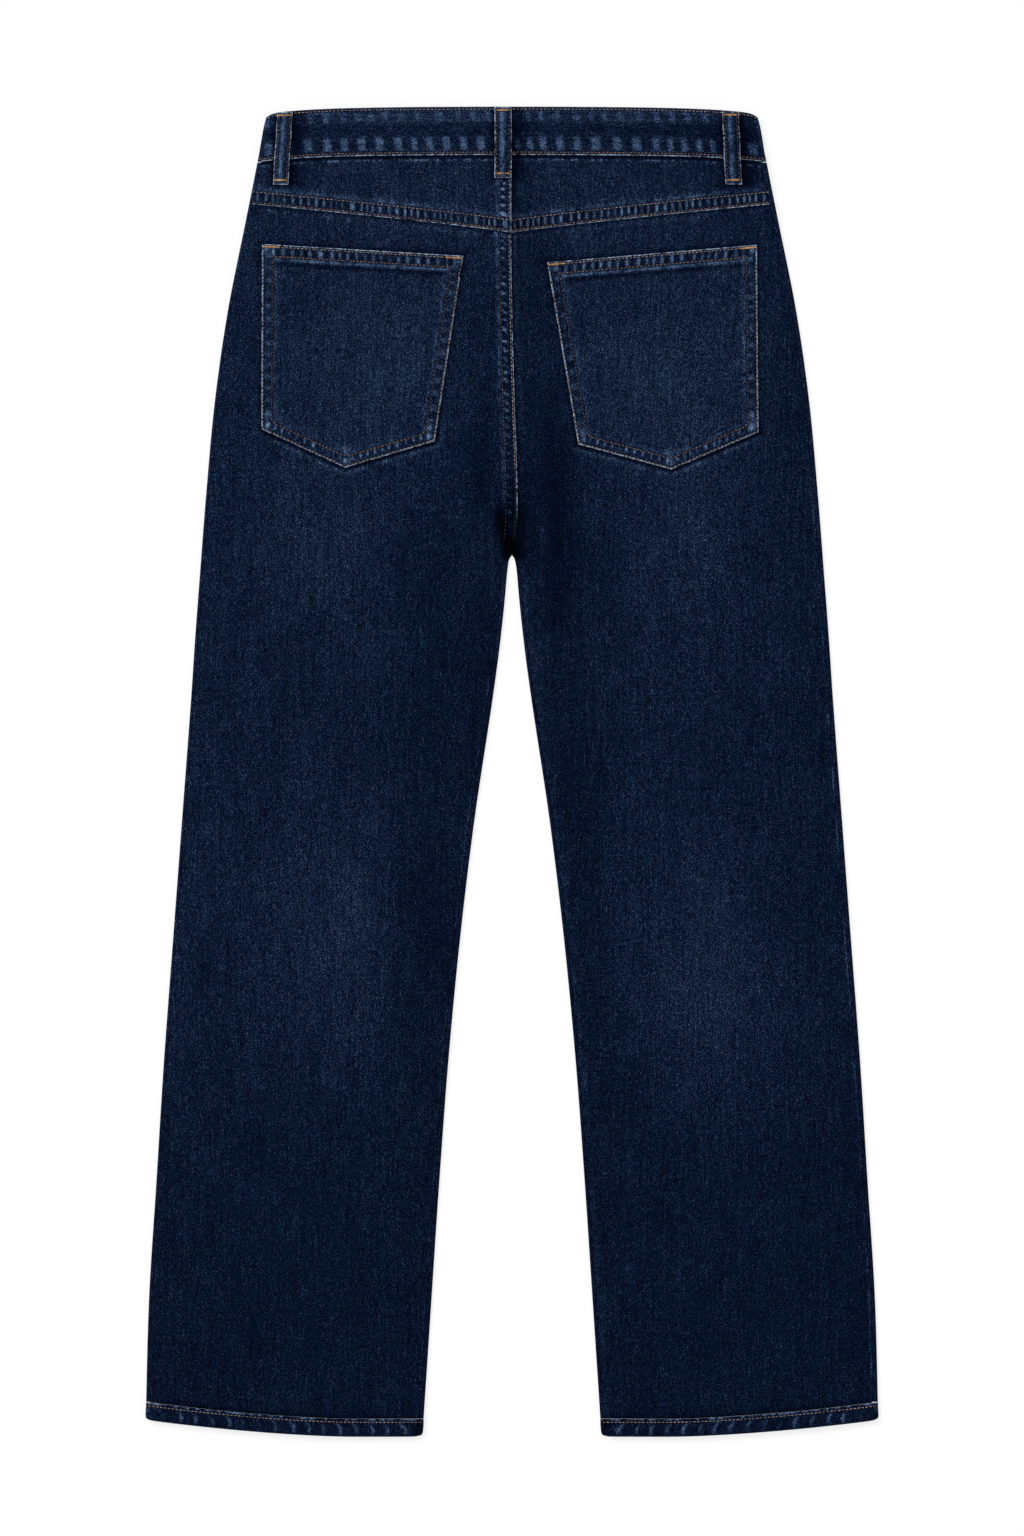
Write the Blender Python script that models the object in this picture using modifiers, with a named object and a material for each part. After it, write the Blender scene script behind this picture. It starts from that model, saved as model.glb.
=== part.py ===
# Oversized jeans, laid flat with the front down and the back up.
# X runs across the garment, with the wearer's left at -X. Y runs from the hems to the
# waist, and Z up through the cloth. The origin is on the surface that the jeans lie on,
# under the middle of the garment. Sizes are in millimetres and MM turns them into metres.
# A place along the length is given as its distance down from the top of the waist.

import math
from collections import namedtuple

import bmesh
import bpy

MM = 0.001

# Driving sizes
LENGTH = 1063.6  # top of the waist at the centre back to the lowest point of the hems
FORK = 359.6  # waist to the fork of the legs
FORK_ROUND = 18.8  # length over which the rounded fork opens into the inseams
FORK_OPEN = 4.4  # half gap between the legs where that rounding ends
LEG_CROWN = 90.0  # length above the fork over which each leg takes a crown of its own
SEAT_TURN = (FORK - 12, FORK + 4)  # where the seat seam turns into the inseams
FRONT_TURN = (FORK - 6, FORK + 10)  # where the front starts to turn up round the inseams
GAP = 0.3  # between neighbouring pieces
DENIM = 1.2  # one layer of cloth
EDGE_FLAT = 4.0  # width of level cloth beside a folded edge
ROUND_STEPS = 5  # facets round a folded edge

# Waistband
BAND_HEIGHT = 38.6
BAND_WALL = 1.8  # folded strip, two layers
BAND_PROUD = 0.7  # how far the band stands above the yoke
SIDE_DROP = 5.6  # how much lower the waist is at its sides than at the centre back
SIDE_BOW = 0.34  # share of that drop in a plain bow; the rest comes close to the sides
SIDE_BOW_POWER = 6
FRONT_DIP = 14.0  # how much lower again at the centre front
TAB_END = 20.0  # outer end of the band, past the centre front
UNDERLAP_END = -16.0  # inner end of the band
LAP_START, LAP_FULL = 36.0, 25.0  # where the inner end steps up over the outer one
LAP_GAP = 0.4  # between those two ends

# Heights above the surface
WAIST_RISE = 1.7  # the waist rests on its front loops
WAIST_TOP, LEG_TOP = 6.0, 3.4  # upper face of the cloth at the folded edges
HEM_LIFT, HEM_RISE = 1.5, 0.3  # the thick hem lifts both layers
UNDER_SETTLES, TOP_SETTLES = (80, 140), (50, 150)  # where the waist's height has died away
UNDER_HEM, TOP_HEM = (985, 1045), (985, 1050)  # where the hem's height begins, and is full
CROWN_POWER = 4  # how square the middle of the cloth stands
BUTTON_PLACE = (8.0, 39.0)  # across and down
BUTTON_RISE, BUTTON_SPREAD = 1.6, 28.0
BUTTON_BACK = 0.9  # share of the button's height that still shows in the back

# Seams
FELL = 8.8  # width of the felled seat seam
YOKE_FELL = 10.4
SEAM_PROUD = 0.7
SEAM_EASE = 1.0  # width of the slope beside a raised seam
SEAM_EDGE, EDGE_START = 0.8, 0.5  # width of its rounded edge, and the height it starts at
SEAT_END = 20.0  # length over which the seat seam flattens above the fork
YOKE_SIDE, YOKE_CENTRE = 77.6, 100.8  # lower edge of the yoke, down from the waist
YOKE_POWER = 0.88  # 1 is a straight V
WRAP_SHOWN, WRAP_HIDDEN = 2.1, 0.5  # strip of front cloth that lies on top past the edge

# Hem
HEM_HEIGHT = 14.2
HEM_WALL = 1.9
HEM_PROUD = 0.4
HEM_EDGE = 1.2  # rows of points this far from both edges
HEM_BEND = 0.2  # how far its bends reach into the flat parts
HEM_MEET_ANGLE, HEM_MEET_SHARE = 84, 0.012  # where its two ends meet, on the inseam
HEM_SWEEP, HEM_SWEEP_START, HEM_SWEEP_POWER = 13.4, 0.25, 1.6

# Front pocket mouth, as a share of the flat front and a depth below the band
SCOOP_START, SCOOP_DEPTH = 0.57, 98.0
FACING_START = 0.59

POCKET_WALL = 1.1
POCKET_HEM = 11.0
POCKET_HEM_PROUD = 0.5
POCKET_HEM_EASE = 0.1  # width of the slope beside that hem, as a share of it
POCKET_EDGE, LOOP_EDGE = 0.7, 0.75  # height of the rounded edges, as a share of the wall
LOOP_WALL = 1.3
LOOP_STEP = (1.0, 10.0)  # where a loop comes down from the band, past the band's edge
ZIP_WIDTH, ZIP_CHAIN, ZIP_TOP, ZIP_END = 26.0, 5.0, 63.0, 198.0
ZIP_TAPE_WALL, ZIP_CHAIN_WALL, ZIP_CHAIN_EASE = 0.8, 1.3, 0.4
BUTTON_PROFILE = [  # radius and height, from the back of the tack to the middle of the face
    (0.0, 2.9), (3.4, 2.9), (3.4, 2.1), (7.6, 2.1), (8.5, 1.5), (8.5, 0.7), (7.7, 0.0), (0.0, 0.0)]
BUTTON_STEPS = 24

Section = namedtuple("Section", "down outer inner crown")
SECTIONS = [
    # outer: half width at the side seams. inner: half gap between the legs.
    # crown: how much higher the middle of the cloth lies than its edges.
    Section(0.0, 195.8, 0.0, 1.5),
    Section(44.0, 203.6, 0.0, 1.7),
    Section(90.4, 212.8, 0.0, 2.0),
    Section(162.4, 227.2, 0.0, 2.2),
    Section(234.4, 237.6, 0.0, 2.2),
    Section(306.4, 244.4, 0.0, 2.0),
    Section(378.4, 250.0, 4.4, 2.0),
    Section(426.4, 253.6, 9.2, 2.1),
    Section(474.4, 256.8, 15.6, 2.2),
    Section(570.4, 264.0, 30.0, 2.2),
    Section(666.4, 271.2, 41.6, 2.2),
    Section(762.4, 278.4, 50.8, 2.2),
    Section(858.4, 284.4, 58.0, 2.1),
    Section(954.4, 290.4, 64.4, 1.9),
    Section(1063.6, 293.3, 71.6, 1.2),
]

SeatSeam = namedtuple("SeatSeam", "down across")
SEAT_SEAM = [
    SeatSeam(38.0, -0.4),
    SeatSeam(130.0, -0.4),
    SeatSeam(241.0, 2.3),
    SeatSeam(290.0, 4.1),
    SeatSeam(338.0, 4.0),
    SeatSeam(FORK, 0.0),
]

Trough = namedtuple("Trough", "across down across_end down_end depth width")
TROUGHS = [
    Trough(24.0, 222.0, 44.0, 405.0, 0.9, 13.0),
    Trough(-24.0, 262.0, -20.0, 335.0, 0.7, 11.0),
    Trough(-72.0, 370.0, -64.0, 560.0, 0.7, 16.0),
    Trough(60.0, 440.0, 92.0, 600.0, 0.5, 16.0),
]

Pocket = namedtuple("Pocket", "side top_in top_out low_in point low_out")
POCKETS = [
    # each corner as distance across from the centre and down from the waist
    Pocket("left", (39.0, 119.4), (199.8, 109.8), (61.8, 267.4), (133.4, 288.7), (200.4, 257.8)),
    Pocket("right", (28.2, 124.6), (195.8, 110.5), (53.0, 269.9), (127.6, 290.1), (197.1, 260.2)),
]

Loop = namedtuple("Loop", "name top_across top low_across low width lift")
BACK_LOOPS = [
    Loop("belt_loop_back_left", -181.6, 4.6, -185.0, 62.4, 12.2, 0.0),
    Loop("belt_loop_back_centre", -7.2, 0.4, -7.2, 57.1, 13.6, 0.8),
    Loop("belt_loop_back_right", 174.5, 4.2, 177.3, 62.2, 13.2, 0.0),
]
FRONT_LOOPS = [
    Loop("belt_loop_front_left", -104.0, 17.0, -106.0, 75.0, 13.0, 0.0),
    Loop("belt_loop_front_right", 104.0, 17.0, 106.0, 75.0, 13.0, 0.0),
]

SIDES = {"left": -1, "right": 1}

PANEL_COLUMNS = 11
COLUMN_POWER = 1.3  # columns are closer together near the seat seam
# Down from the waist, at the inner edge of a panel: closer where the legs fork
BACK_ROWS = [102.9, 130, 160, 195, 230, 262, 290, 312, 328, 338, 346, 352, 356, 360, 364]
BACK_ROWS += [368, 374, 384, 400, 425, 455, 490, 530, 575, 625, 680, 740, 800, 860, 915]
BACK_ROWS += [960, 995, 1020, 1036, 1049.1]
FRONT_ROWS = [0, 35, 75, 115, 150, 195, 230, 262, 275, 288, 294, 298, 302, 306, 312, 322]
FRONT_ROWS += [338, 362, 400, 450, 510, 580, 660, 740, 820, 890, 935, 965, 990]

Look = namedtuple("Look", "colour roughness metallic")
BACK_DENIM = Look((0.0090, 0.0168, 0.0400), 0.88, 0.0)
FRONT_DENIM = Look((0.0075, 0.0145, 0.0350), 0.88, 0.0)
POCKET_DENIM = Look((0.0100, 0.0190, 0.0430), 0.88, 0.0)
BAND_DENIM = Look((0.0120, 0.0215, 0.0470), 0.86, 0.0)
HEM_DENIM = Look((0.0090, 0.0170, 0.0380), 0.88, 0.0)
BRASS = Look((0.42, 0.27, 0.12), 0.38, 1.0)
TAPE = Look((0.010, 0.013, 0.024), 0.80, 0.0)


def lerp(a, b, t):
    return a + (b - a) * t


def ease(start, end, at):
    t = min(1.0, max(0.0, (at - start) / (end - start)))
    return t * t * (3.0 - 2.0 * t)


def spread(first, last, count):
    return [lerp(first, last, k / count) for k in range(count + 1)]


def read(rows, column, at):
    """A smooth curve through one column of a table, at a distance down from the waist."""
    downs = [row.down for row in rows]
    values = [getattr(row, column) for row in rows]
    at = min(downs[-1], max(downs[0], at))
    k = max(i for i in range(len(rows) - 1) if downs[i] <= at or i == 0)

    def slope(i):
        low, high = max(0, i - 1), min(len(rows) - 1, i + 1)
        return (values[high] - values[low]) / (downs[high] - downs[low])

    span = downs[k + 1] - downs[k]
    t = (at - downs[k]) / span
    rise = values[k + 1] - values[k]
    start, end = slope(k) * span, slope(k + 1) * span
    return values[k] + t * (start + t * (3 * rise - 2 * start - end + t * (start + end - 2 * rise)))


def outer(down):
    return read(SECTIONS, "outer", down)


def inner(down):
    """Half the gap between the legs: none above the fork, rounded just below it."""
    if down <= FORK:
        return 0.0
    if down < FORK + FORK_ROUND:
        return FORK_OPEN * math.sqrt((down - FORK) / FORK_ROUND)
    return read(SECTIONS, "inner", down)


def seat_seam(down):
    return read(SEAT_SEAM, "across", down)


def button_bump(across, down):
    far = (across - BUTTON_PLACE[0]) ** 2 + (down - BUTTON_PLACE[1]) ** 2
    return BUTTON_RISE * math.exp(-far / (2 * BUTTON_SPREAD**2))


def under(across, down):
    """The lower face of the front cloth: on the surface, but for the waist and the hems."""
    level = WAIST_RISE * (1 - ease(*UNDER_SETTLES, down)) + HEM_RISE * ease(*UNDER_HEM, down)
    return level + button_bump(across, down)


def edge_top(down):
    waist = (WAIST_TOP - LEG_TOP) * (1 - ease(*TOP_SETTLES, down))
    return LEG_TOP + waist + HEM_LIFT * ease(*TOP_HEM, down)


def edge_round(down):
    """Radius of the outer face where the cloth turns round a side seam or an inseam."""
    return (edge_top(down) - under(outer(down), down)) / 2


def crown_share(across, down):
    """0 at the folded edges and 1 in the middle, of the hips first and of each leg below."""
    side = outer(down) - EDGE_FLAT
    hips = 1 - min(1.0, abs(across) / side) ** CROWN_POWER
    fold = inner(down) + EDGE_FLAT
    share = min(1.0, max(0.0, (abs(across) - fold) / (side - fold)))
    leg = 1 - abs(2 * share - 1) ** CROWN_POWER
    return lerp(hips, leg, ease(FORK - LEG_CROWN, FORK, down))


def trough_depth(across, down):
    """Soft creases that fan out from the fork."""
    total = 0.0
    for trough in TROUGHS:
        run = (down - trough.down) / (trough.down_end - trough.down)
        if 0 < run < 1:
            middle = lerp(trough.across, trough.across_end, run)
            off = (across - middle) / trough.width
            total += trough.depth * math.sin(math.pi * run) * math.exp(-off * off / 2)
    return total


def top(across, down):
    """The upper face of the back cloth, without its raised seams."""
    crown = read(SECTIONS, "crown", down) - trough_depth(across, down)
    return edge_top(down) + crown * crown_share(across, down) + BUTTON_BACK * button_bump(across, down)


def band_drop(across, edge, back):
    """How far the waistband lies below its place at the centre back."""
    share = min(1.0, abs(across) / edge)
    if back:
        return SIDE_DROP * lerp(share**SIDE_BOW_POWER, share**2, SIDE_BOW)
    return SIDE_DROP + FRONT_DIP * (1 - share**2)


def band_low(across, back):
    return BAND_HEIGHT + band_drop(across, outer(BAND_HEIGHT + SIDE_DROP), back)


def yoke_low(across):
    """The lower edge of the yoke, a shallow V with its point at the seat seam."""
    share = min(1.0, abs(across) / outer(YOKE_SIDE))
    return lerp(YOKE_CENTRE, YOKE_SIDE, share**YOKE_POWER)


def hem_low(across):
    fold, side = inner(LENGTH), outer(LENGTH)
    share = min(1.0, max(0.0, (abs(across) - fold) / (side - fold)))
    past = max(0.0, (share - HEM_SWEEP_START) / (1 - HEM_SWEEP_START))
    return LENGTH - HEM_SWEEP * past**HEM_SWEEP_POWER


def hem_high(across):
    return hem_low(across) - HEM_HEIGHT


def outseam_wrap(side):
    return WRAP_SHOWN if side == "right" else WRAP_HIDDEN


def inseam_wrap(side):
    return WRAP_SHOWN if side == "left" else WRAP_HIDDEN


def raised_seam(distance, width, proud):
    """Height of a felled seam at a distance from its edge: rounded edge, level top, slope."""
    edge = min(1.0, EDGE_START + distance)
    return proud * edge * (1 - ease(width, width + SEAM_EASE, distance))


def material(name, look):
    made = bpy.data.materials.new(name)
    made.use_nodes = True
    shader = made.node_tree.nodes["Principled BSDF"]
    shader.inputs["Base Color"].default_value = (*look.colour, 1.0)
    shader.inputs["Roughness"].default_value = look.roughness
    shader.inputs["Metallic"].default_value = look.metallic
    made.diffuse_color = (*look.colour, 1.0)
    return made


def add_object(name, mesh, look, parts):
    mesh.materials.append(material(name + "_finish", look))
    mesh.shade_smooth()
    mesh.set_sharp_from_angle(angle=math.radians(40))
    piece = bpy.data.objects.new(name, mesh)
    parts.objects.link(piece)
    return piece


def cloth_wall(name, look, parts, columns, rows, face):
    """A closed wall of cloth from a grid of columns and rows.

    face(column, row, inside) gives a point as across, down and height, on the outer face
    or on the inner one.
    """
    grid = bmesh.new()
    bmesh.ops.create_grid(grid, x_segments=len(columns) - 1, y_segments=len(rows) - 1, size=1)
    doubled = bmesh.ops.extrude_face_region(grid, geom=list(grid.faces), use_keep_orig=True)
    inside = {item for item in doubled["geom"] if isinstance(item, bmesh.types.BMVert)}
    for vert in grid.verts:
        column = columns[round((vert.co.x + 1) / 2 * (len(columns) - 1))]
        row = rows[round((vert.co.y + 1) / 2 * (len(rows) - 1))]
        across, down, height = face(column, row, vert in inside)
        vert.co = (across * MM, (LENGTH / 2 - down) * MM, height * MM)
    bmesh.ops.recalc_face_normals(grid, faces=list(grid.faces))
    mesh = bpy.data.meshes.new(name)
    grid.to_mesh(mesh)
    grid.free()
    return add_object(name, mesh, look, parts)


def back_inner(side, down):
    """Inner edge of a back panel: at the seat seam, then beside the inseam below the fork."""
    seam = GAP / 2 + SIDES[side] * seat_seam(down)
    leg = inner(down) + edge_round(down) + inseam_wrap(side) + GAP
    return lerp(seam, leg, ease(*SEAT_TURN, down))


def back_outer(side, down):
    return outer(down) - edge_round(down) - outseam_wrap(side) - GAP


def back_columns(count):
    """Columns that follow the felled seat seam, then share out the rest of the width."""
    offsets = [("off", value) for value in (0.0, SEAM_EDGE, FELL, FELL + SEAM_EASE)]
    shares = [1 - (1 - value) ** COLUMN_POWER for value in spread(0, 1, count)[1:]]
    return offsets + [("share", value) for value in shares]


def across_back(side, column, start, end):
    """Distance outwards from the centre, for one column of a back piece."""
    kind, value = column
    if kind == "off":
        return start + value
    return lerp(start + FELL + SEAM_EASE, end, value)


def seat_fell(side, column, down):
    """The left back laps over the right one, so only the left has the raised seam."""
    kind, value = column
    if side == "right" or kind == "share":
        return 0.0
    return raised_seam(value, FELL, SEAM_PROUD) * (1 - ease(FORK - SEAT_END, FORK, down))


def make_back_panel(side, parts):
    first, last = BACK_ROWS[0], BACK_ROWS[-1]

    def face(column, row, inside):
        run = (row - first) / (last - first)
        start = back_inner(side, row)
        side_down = lerp(yoke_low(outer(YOKE_SIDE)) + GAP, hem_high(outer(LENGTH)) - GAP, run)
        away = across_back(side, column, start, back_outer(side, side_down))
        across = SIDES[side] * away
        down = lerp(yoke_low(away) + GAP, hem_high(away) - GAP, run)
        height = top(across, down)
        if inside:
            return across, down, height - DENIM
        return across, down, height + seat_fell(side, column, down)

    cloth_wall("back_panel_" + side, BACK_DENIM, parts, back_columns(PANEL_COLUMNS), BACK_ROWS, face)


def make_yoke(side, parts):
    rows = [("share", value) for value in spread(0, 1, 3)]
    rows += [("up", value) for value in (YOKE_FELL, SEAM_EDGE, 0.0)]

    def face(column, row, inside):
        kind, value = row
        middle_down = (BAND_HEIGHT + YOKE_CENTRE) / 2
        start = back_inner(side, middle_down)
        if kind == "share":
            high_side = BAND_HEIGHT + SIDE_DROP + GAP
            side_down = lerp(high_side, YOKE_SIDE - YOKE_FELL - SEAM_EASE, value)
        else:
            side_down = YOKE_SIDE - value
        away = across_back(side, column, start, back_outer(side, side_down))
        across = SIDES[side] * away
        low = yoke_low(away)
        if kind == "share":
            down = lerp(band_low(away, True) + GAP, low - YOKE_FELL - SEAM_EASE, value)
            fell = 0.0
        else:
            down = low - value
            fell = raised_seam(value, YOKE_FELL, SEAM_PROUD)
        height = top(across, down)
        if inside:
            return across, down, height - DENIM
        return across, down, height + max(fell, seat_fell(side, column, down))

    cloth_wall("back_yoke_" + side, BACK_DENIM, parts, back_columns(PANEL_COLUMNS), rows, face)


def fold_point(edge, down, run, depth, outwards):
    """A point where the front cloth turns round an edge, at a length along the turn.

    run is 0 where the turn leaves the flat front. outwards is 1 at a side seam and -1 at an
    inseam, for an edge given as a distance from the centre.
    """
    radius = edge_round(down)
    low = under(outer(down), down)
    if run <= math.pi * radius:
        angle = run / radius
        away = edge + outwards * (radius - depth) * math.sin(angle)
        return away, low + radius - (radius - depth) * math.cos(angle)
    return edge - outwards * (run - math.pi * radius), low + 2 * radius - depth


def front_inner(side, down):
    """Where the flat front ends at its inner edge, and the length turned up past it."""
    radius = edge_round(down)
    whole = math.pi * radius + inseam_wrap(side)
    turned = whole * ease(*FRONT_TURN, down)
    reach = radius * math.sin(min(turned / radius, math.pi / 2))
    return inner(down) + GAP / 2 * (1 - turned / whole) + reach, turned, whole


def front_face(side, column, down, inside):
    """A point of the front: flat, or turned round the inseam or the side seam."""
    kind, value = column
    depth = DENIM if inside else 0.0
    fold, turned, whole = front_inner(side, down)
    seam = outer(down) - edge_round(down)
    if kind == "inseam":
        run = turned - value * whole
        if run > 0:
            away, height = fold_point(fold, down, run, depth, -1)
            return SIDES[side] * away, height
        away = fold - run
    elif kind == "outseam":
        run = value * (math.pi * edge_round(down) + outseam_wrap(side))
        away, height = fold_point(seam, down, run, depth, 1)
        return SIDES[side] * away, height
    else:
        away = lerp(fold + whole - turned, seam, value)
    across = SIDES[side] * away
    return across, under(across, down) + depth


def turn_shares(wrap):
    """Shares of a turned edge: evenly round the fold, then the strip on top of it."""
    round_length = math.pi * (LEG_TOP / 2)
    fold = round_length / (round_length + wrap)
    return [fold * k / ROUND_STEPS for k in range(ROUND_STEPS + 1)] + [1.0]


def front_top(share):
    """Depth of the pocket mouth below the band: none near the centre, most at the side."""
    past = min(1.0, max(0.0, (share - SCOOP_START) / (1 - SCOOP_START)))
    return SCOOP_DEPTH * math.sin(math.pi / 2 * past)


FLAT_SHARES = [0.14, 0.28, 0.43, SCOOP_START, 0.62, 0.68, 0.76, 0.86]


def make_front_panel(side, parts):
    inseam = [("inseam", 1 - share) for share in reversed(turn_shares(inseam_wrap(side)))]
    flats = [("flat", share) for share in FLAT_SHARES]
    outseam = [("outseam", share) for share in turn_shares(outseam_wrap(side))]
    last = FRONT_ROWS[-1]

    def face(column, row, inside):
        kind, share = column
        share = {"inseam": 0.0, "outseam": 1.0}.get(kind, share)
        high = band_low(share * outer(BAND_HEIGHT), False) + GAP + front_top(share)
        fold, side_edge = inner(LENGTH), outer(LENGTH)
        low = hem_high(lerp(fold, side_edge, share)) - GAP
        down = lerp(high, low, row / last)
        across, height = front_face(side, column, down, inside)
        return across, down, height

    columns = inseam + flats + outseam
    cloth_wall("front_panel_" + side, FRONT_DENIM, parts, columns, FRONT_ROWS, face)


def make_pocket_facing(side, parts):
    """The cloth that shows in the mouth of a front pocket, set back from the front panel."""
    shares = [FACING_START] + [share for share in FLAT_SHARES if share > FACING_START]
    flats = [("flat", share) for share in shares]
    columns = flats + [("outseam", share) for share in turn_shares(outseam_wrap(side))]

    def face(column, row, inside):
        kind, share = column
        share = 1.0 if kind == "outseam" else share
        high = band_low(share * outer(BAND_HEIGHT), False) + GAP
        down = lerp(high, high + front_top(share) - 2 * GAP, row)
        across, height = front_face(side, column, down, inside)
        return across, down, height

    rows = spread(0, 1, 4)
    cloth_wall("front_pocket_facing_" + side, FRONT_DENIM, parts, columns, rows, face)


def make_waistband(parts):
    """One strip: from its outer end at the centre front, round the wearer's left side, over
    the back, round the right side and on under its own outer end."""
    radius = (WAIST_TOP + BAND_PROUD - WAIST_RISE) / 2
    middle = WAIST_RISE + radius
    turn = spread(-90, 90, ROUND_STEPS + 1)
    columns = [("front", x) for x in (TAB_END, 8, -6, -20, -36, -56, -80, -110, -145)]
    columns += [("left", angle) for angle in turn]
    columns += [("back", math.sin(math.pi / 2 * share)) for share in spread(-1, 1, 26)[1:-1]]
    columns += [("right", angle) for angle in reversed(turn)]
    columns += [("lap", x) for x in (145, 110, 80, 60, 46, LAP_START, 30, LAP_FULL, 10, 0)]
    columns += [("lap", UNDERLAP_END)]

    def face(column, row, inside):
        kind, value = column
        edge = outer(row + SIDE_DROP)
        depth = BAND_WALL if inside else 0.0
        if kind in SIDES:
            angle = math.radians(value)
            across = SIDES[kind] * (edge - radius + (radius - depth) * math.cos(angle))
            return across, row + SIDE_DROP, middle + (radius - depth) * math.sin(angle)
        if kind == "back":
            across = value * (edge - radius)
            down = row + band_drop(across, edge, True)
            return across, down, top(across, down) + BAND_PROUD - depth
        down = row + band_drop(value, edge, False)
        height = under(value, down) + depth
        if kind == "lap":
            lap = 1 - ease(LAP_FULL, LAP_START, value)
            height += lap * (BAND_WALL + LAP_GAP)
        return value, down, height

    cloth_wall("waistband", BAND_DENIM, parts, columns, spread(0, BAND_HEIGHT, 4), face)


def make_hem(side, parts):
    """The turned-up end of a leg, all round it, open where it meets itself at the inseam."""
    columns = [("inseam", angle) for angle in spread(HEM_MEET_ANGLE, -90, ROUND_STEPS)]
    columns += [("under", share) for share in spread(0, 1, 12)[1:-1]]
    columns += [("outseam", angle) for angle in spread(-90, 90, ROUND_STEPS + 1)]
    columns += [("over", share) for share in spread(1, HEM_MEET_SHARE, 14)[1:]]

    def face(column, row, inside):
        kind, value = column
        depth = HEM_WALL if inside else 0.0
        side_down = hem_high(outer(LENGTH)) + row
        fold_down = hem_high(inner(LENGTH)) + row
        high = edge_top(side_down) + HEM_PROUD
        radius = high / 2
        start = inner(fold_down) + radius - HEM_BEND
        end = outer(side_down) - radius + HEM_BEND
        if kind in ("inseam", "outseam"):
            angle = math.radians(value)
            reach = (radius - depth) * math.cos(angle)
            away = end + reach if kind == "outseam" else start - reach
            height = radius + (radius - depth) * math.sin(angle)
        else:
            away = lerp(start, end, value)
            height = depth
        down = hem_high(away) + row
        if kind == "over":
            height = top(SIDES[side] * away, down) + HEM_PROUD - depth
        return SIDES[side] * away, down, height

    rows = [0, HEM_EDGE, HEM_HEIGHT / 2, HEM_HEIGHT - HEM_EDGE, HEM_HEIGHT]
    cloth_wall("hem_" + side, HEM_DENIM, parts, columns, rows, face)


def make_back_pocket(pocket, parts):
    """A patch on the back panel: straight sides and top, and a V below."""
    point_share = (pocket.point[0] - pocket.low_in[0]) / (pocket.low_out[0] - pocket.low_in[0])
    columns = spread(0, point_share, 6) + spread(point_share, 1, 6)[1:]
    hem_share = POCKET_HEM / (pocket.low_in[1] - pocket.top_in[1])
    hem_end = hem_share * (1 + POCKET_HEM_EASE)
    rows = [0, hem_share * POCKET_HEM_EASE, hem_share, hem_end] + spread(hem_share, 1, 9)[1:]
    side = SIDES[pocket.side]

    def corner(a, b, share):
        return lerp(a[0], b[0], share), lerp(a[1], b[1], share)

    def face(column, row, inside):
        if column <= point_share:
            low = corner(pocket.low_in, pocket.point, column / point_share)
        else:
            past = (column - point_share) / (1 - point_share)
            low = corner(pocket.point, pocket.low_out, past)
        away, down = corner(corner(pocket.top_in, pocket.top_out, column), low, row)
        base = top(side * away, down) + GAP
        if inside:
            return side * away, down, base
        hem = POCKET_HEM_PROUD * (1 - ease(hem_share, hem_end, row))
        rounded = POCKET_EDGE if row in (0, 1) or column in (0, 1) else 1.0
        return side * away, down, base + rounded * (POCKET_WALL + hem)

    cloth_wall("back_pocket_" + pocket.side, POCKET_DENIM, parts, columns, rows, face)


def make_back_loop(loop, parts):
    """A strip over the waistband, from its top edge to a little way down the yoke."""

    def face(column, row, inside):
        across = lerp(loop.top_across, loop.low_across, row) + column * loop.width / 2
        down = lerp(loop.top, loop.low, row)
        band_edge = band_low(across, True)
        step = ease(band_edge + LOOP_STEP[0], band_edge + LOOP_STEP[1], down)
        proud = lerp(BAND_PROUD, loop.lift, step)
        height = top(across, down) + proud + GAP
        rounded = LOOP_EDGE if abs(column) == 1 else 1.0
        return across, down, height if inside else height + LOOP_WALL * rounded

    columns = [-1, -0.8, 0, 0.8, 1]
    cloth_wall(loop.name, BAND_DENIM, parts, columns, spread(0, 1, 12), face)


def make_front_loop(loop, parts):
    """The same strip under the front, flat on the surface."""

    def face(column, row, inside):
        across = lerp(loop.top_across, loop.low_across, row) + column * loop.width / 2
        down = lerp(loop.top, loop.low, row)
        return across, down, LOOP_WALL if inside else 0.0

    cloth_wall(loop.name, BAND_DENIM, parts, [-1, 0, 1], spread(0, 1, 4), face)


def make_zip(parts):
    """Tape and closed chain, inside the fly, just clear of the front panels."""
    half, chain = ZIP_WIDTH / 2, ZIP_CHAIN / 2

    def face(column, row, inside):
        height = under(column, row) + DENIM + GAP
        if inside:
            return column, row, height
        return column, row, height + (ZIP_CHAIN_WALL if abs(column) <= chain else ZIP_TAPE_WALL)

    beside = chain + ZIP_CHAIN_EASE
    columns = [-half, -beside, -chain, 0, chain, beside, half]
    cloth_wall("fly_zip", TAPE, parts, columns, spread(ZIP_TOP, ZIP_END, 9), face)


def make_button(parts):
    """A turned tack button: a flat-faced cap on a short shank, face down."""
    mesh = bpy.data.meshes.new("waist_button")
    points = [(radius * MM, 0.0, height * MM) for radius, height in BUTTON_PROFILE]
    mesh.from_pydata(points, [(k, k + 1) for k in range(len(points) - 1)], [])
    button = add_object("waist_button", mesh, BRASS, parts)
    button.location = (BUTTON_PLACE[0] * MM, (LENGTH / 2 - BUTTON_PLACE[1]) * MM, 0.0)
    turn = button.modifiers.new("turn", "SCREW")
    turn.steps = turn.render_steps = BUTTON_STEPS
    turn.use_merge_vertices = True
    turn.merge_threshold = 0.00001


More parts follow.
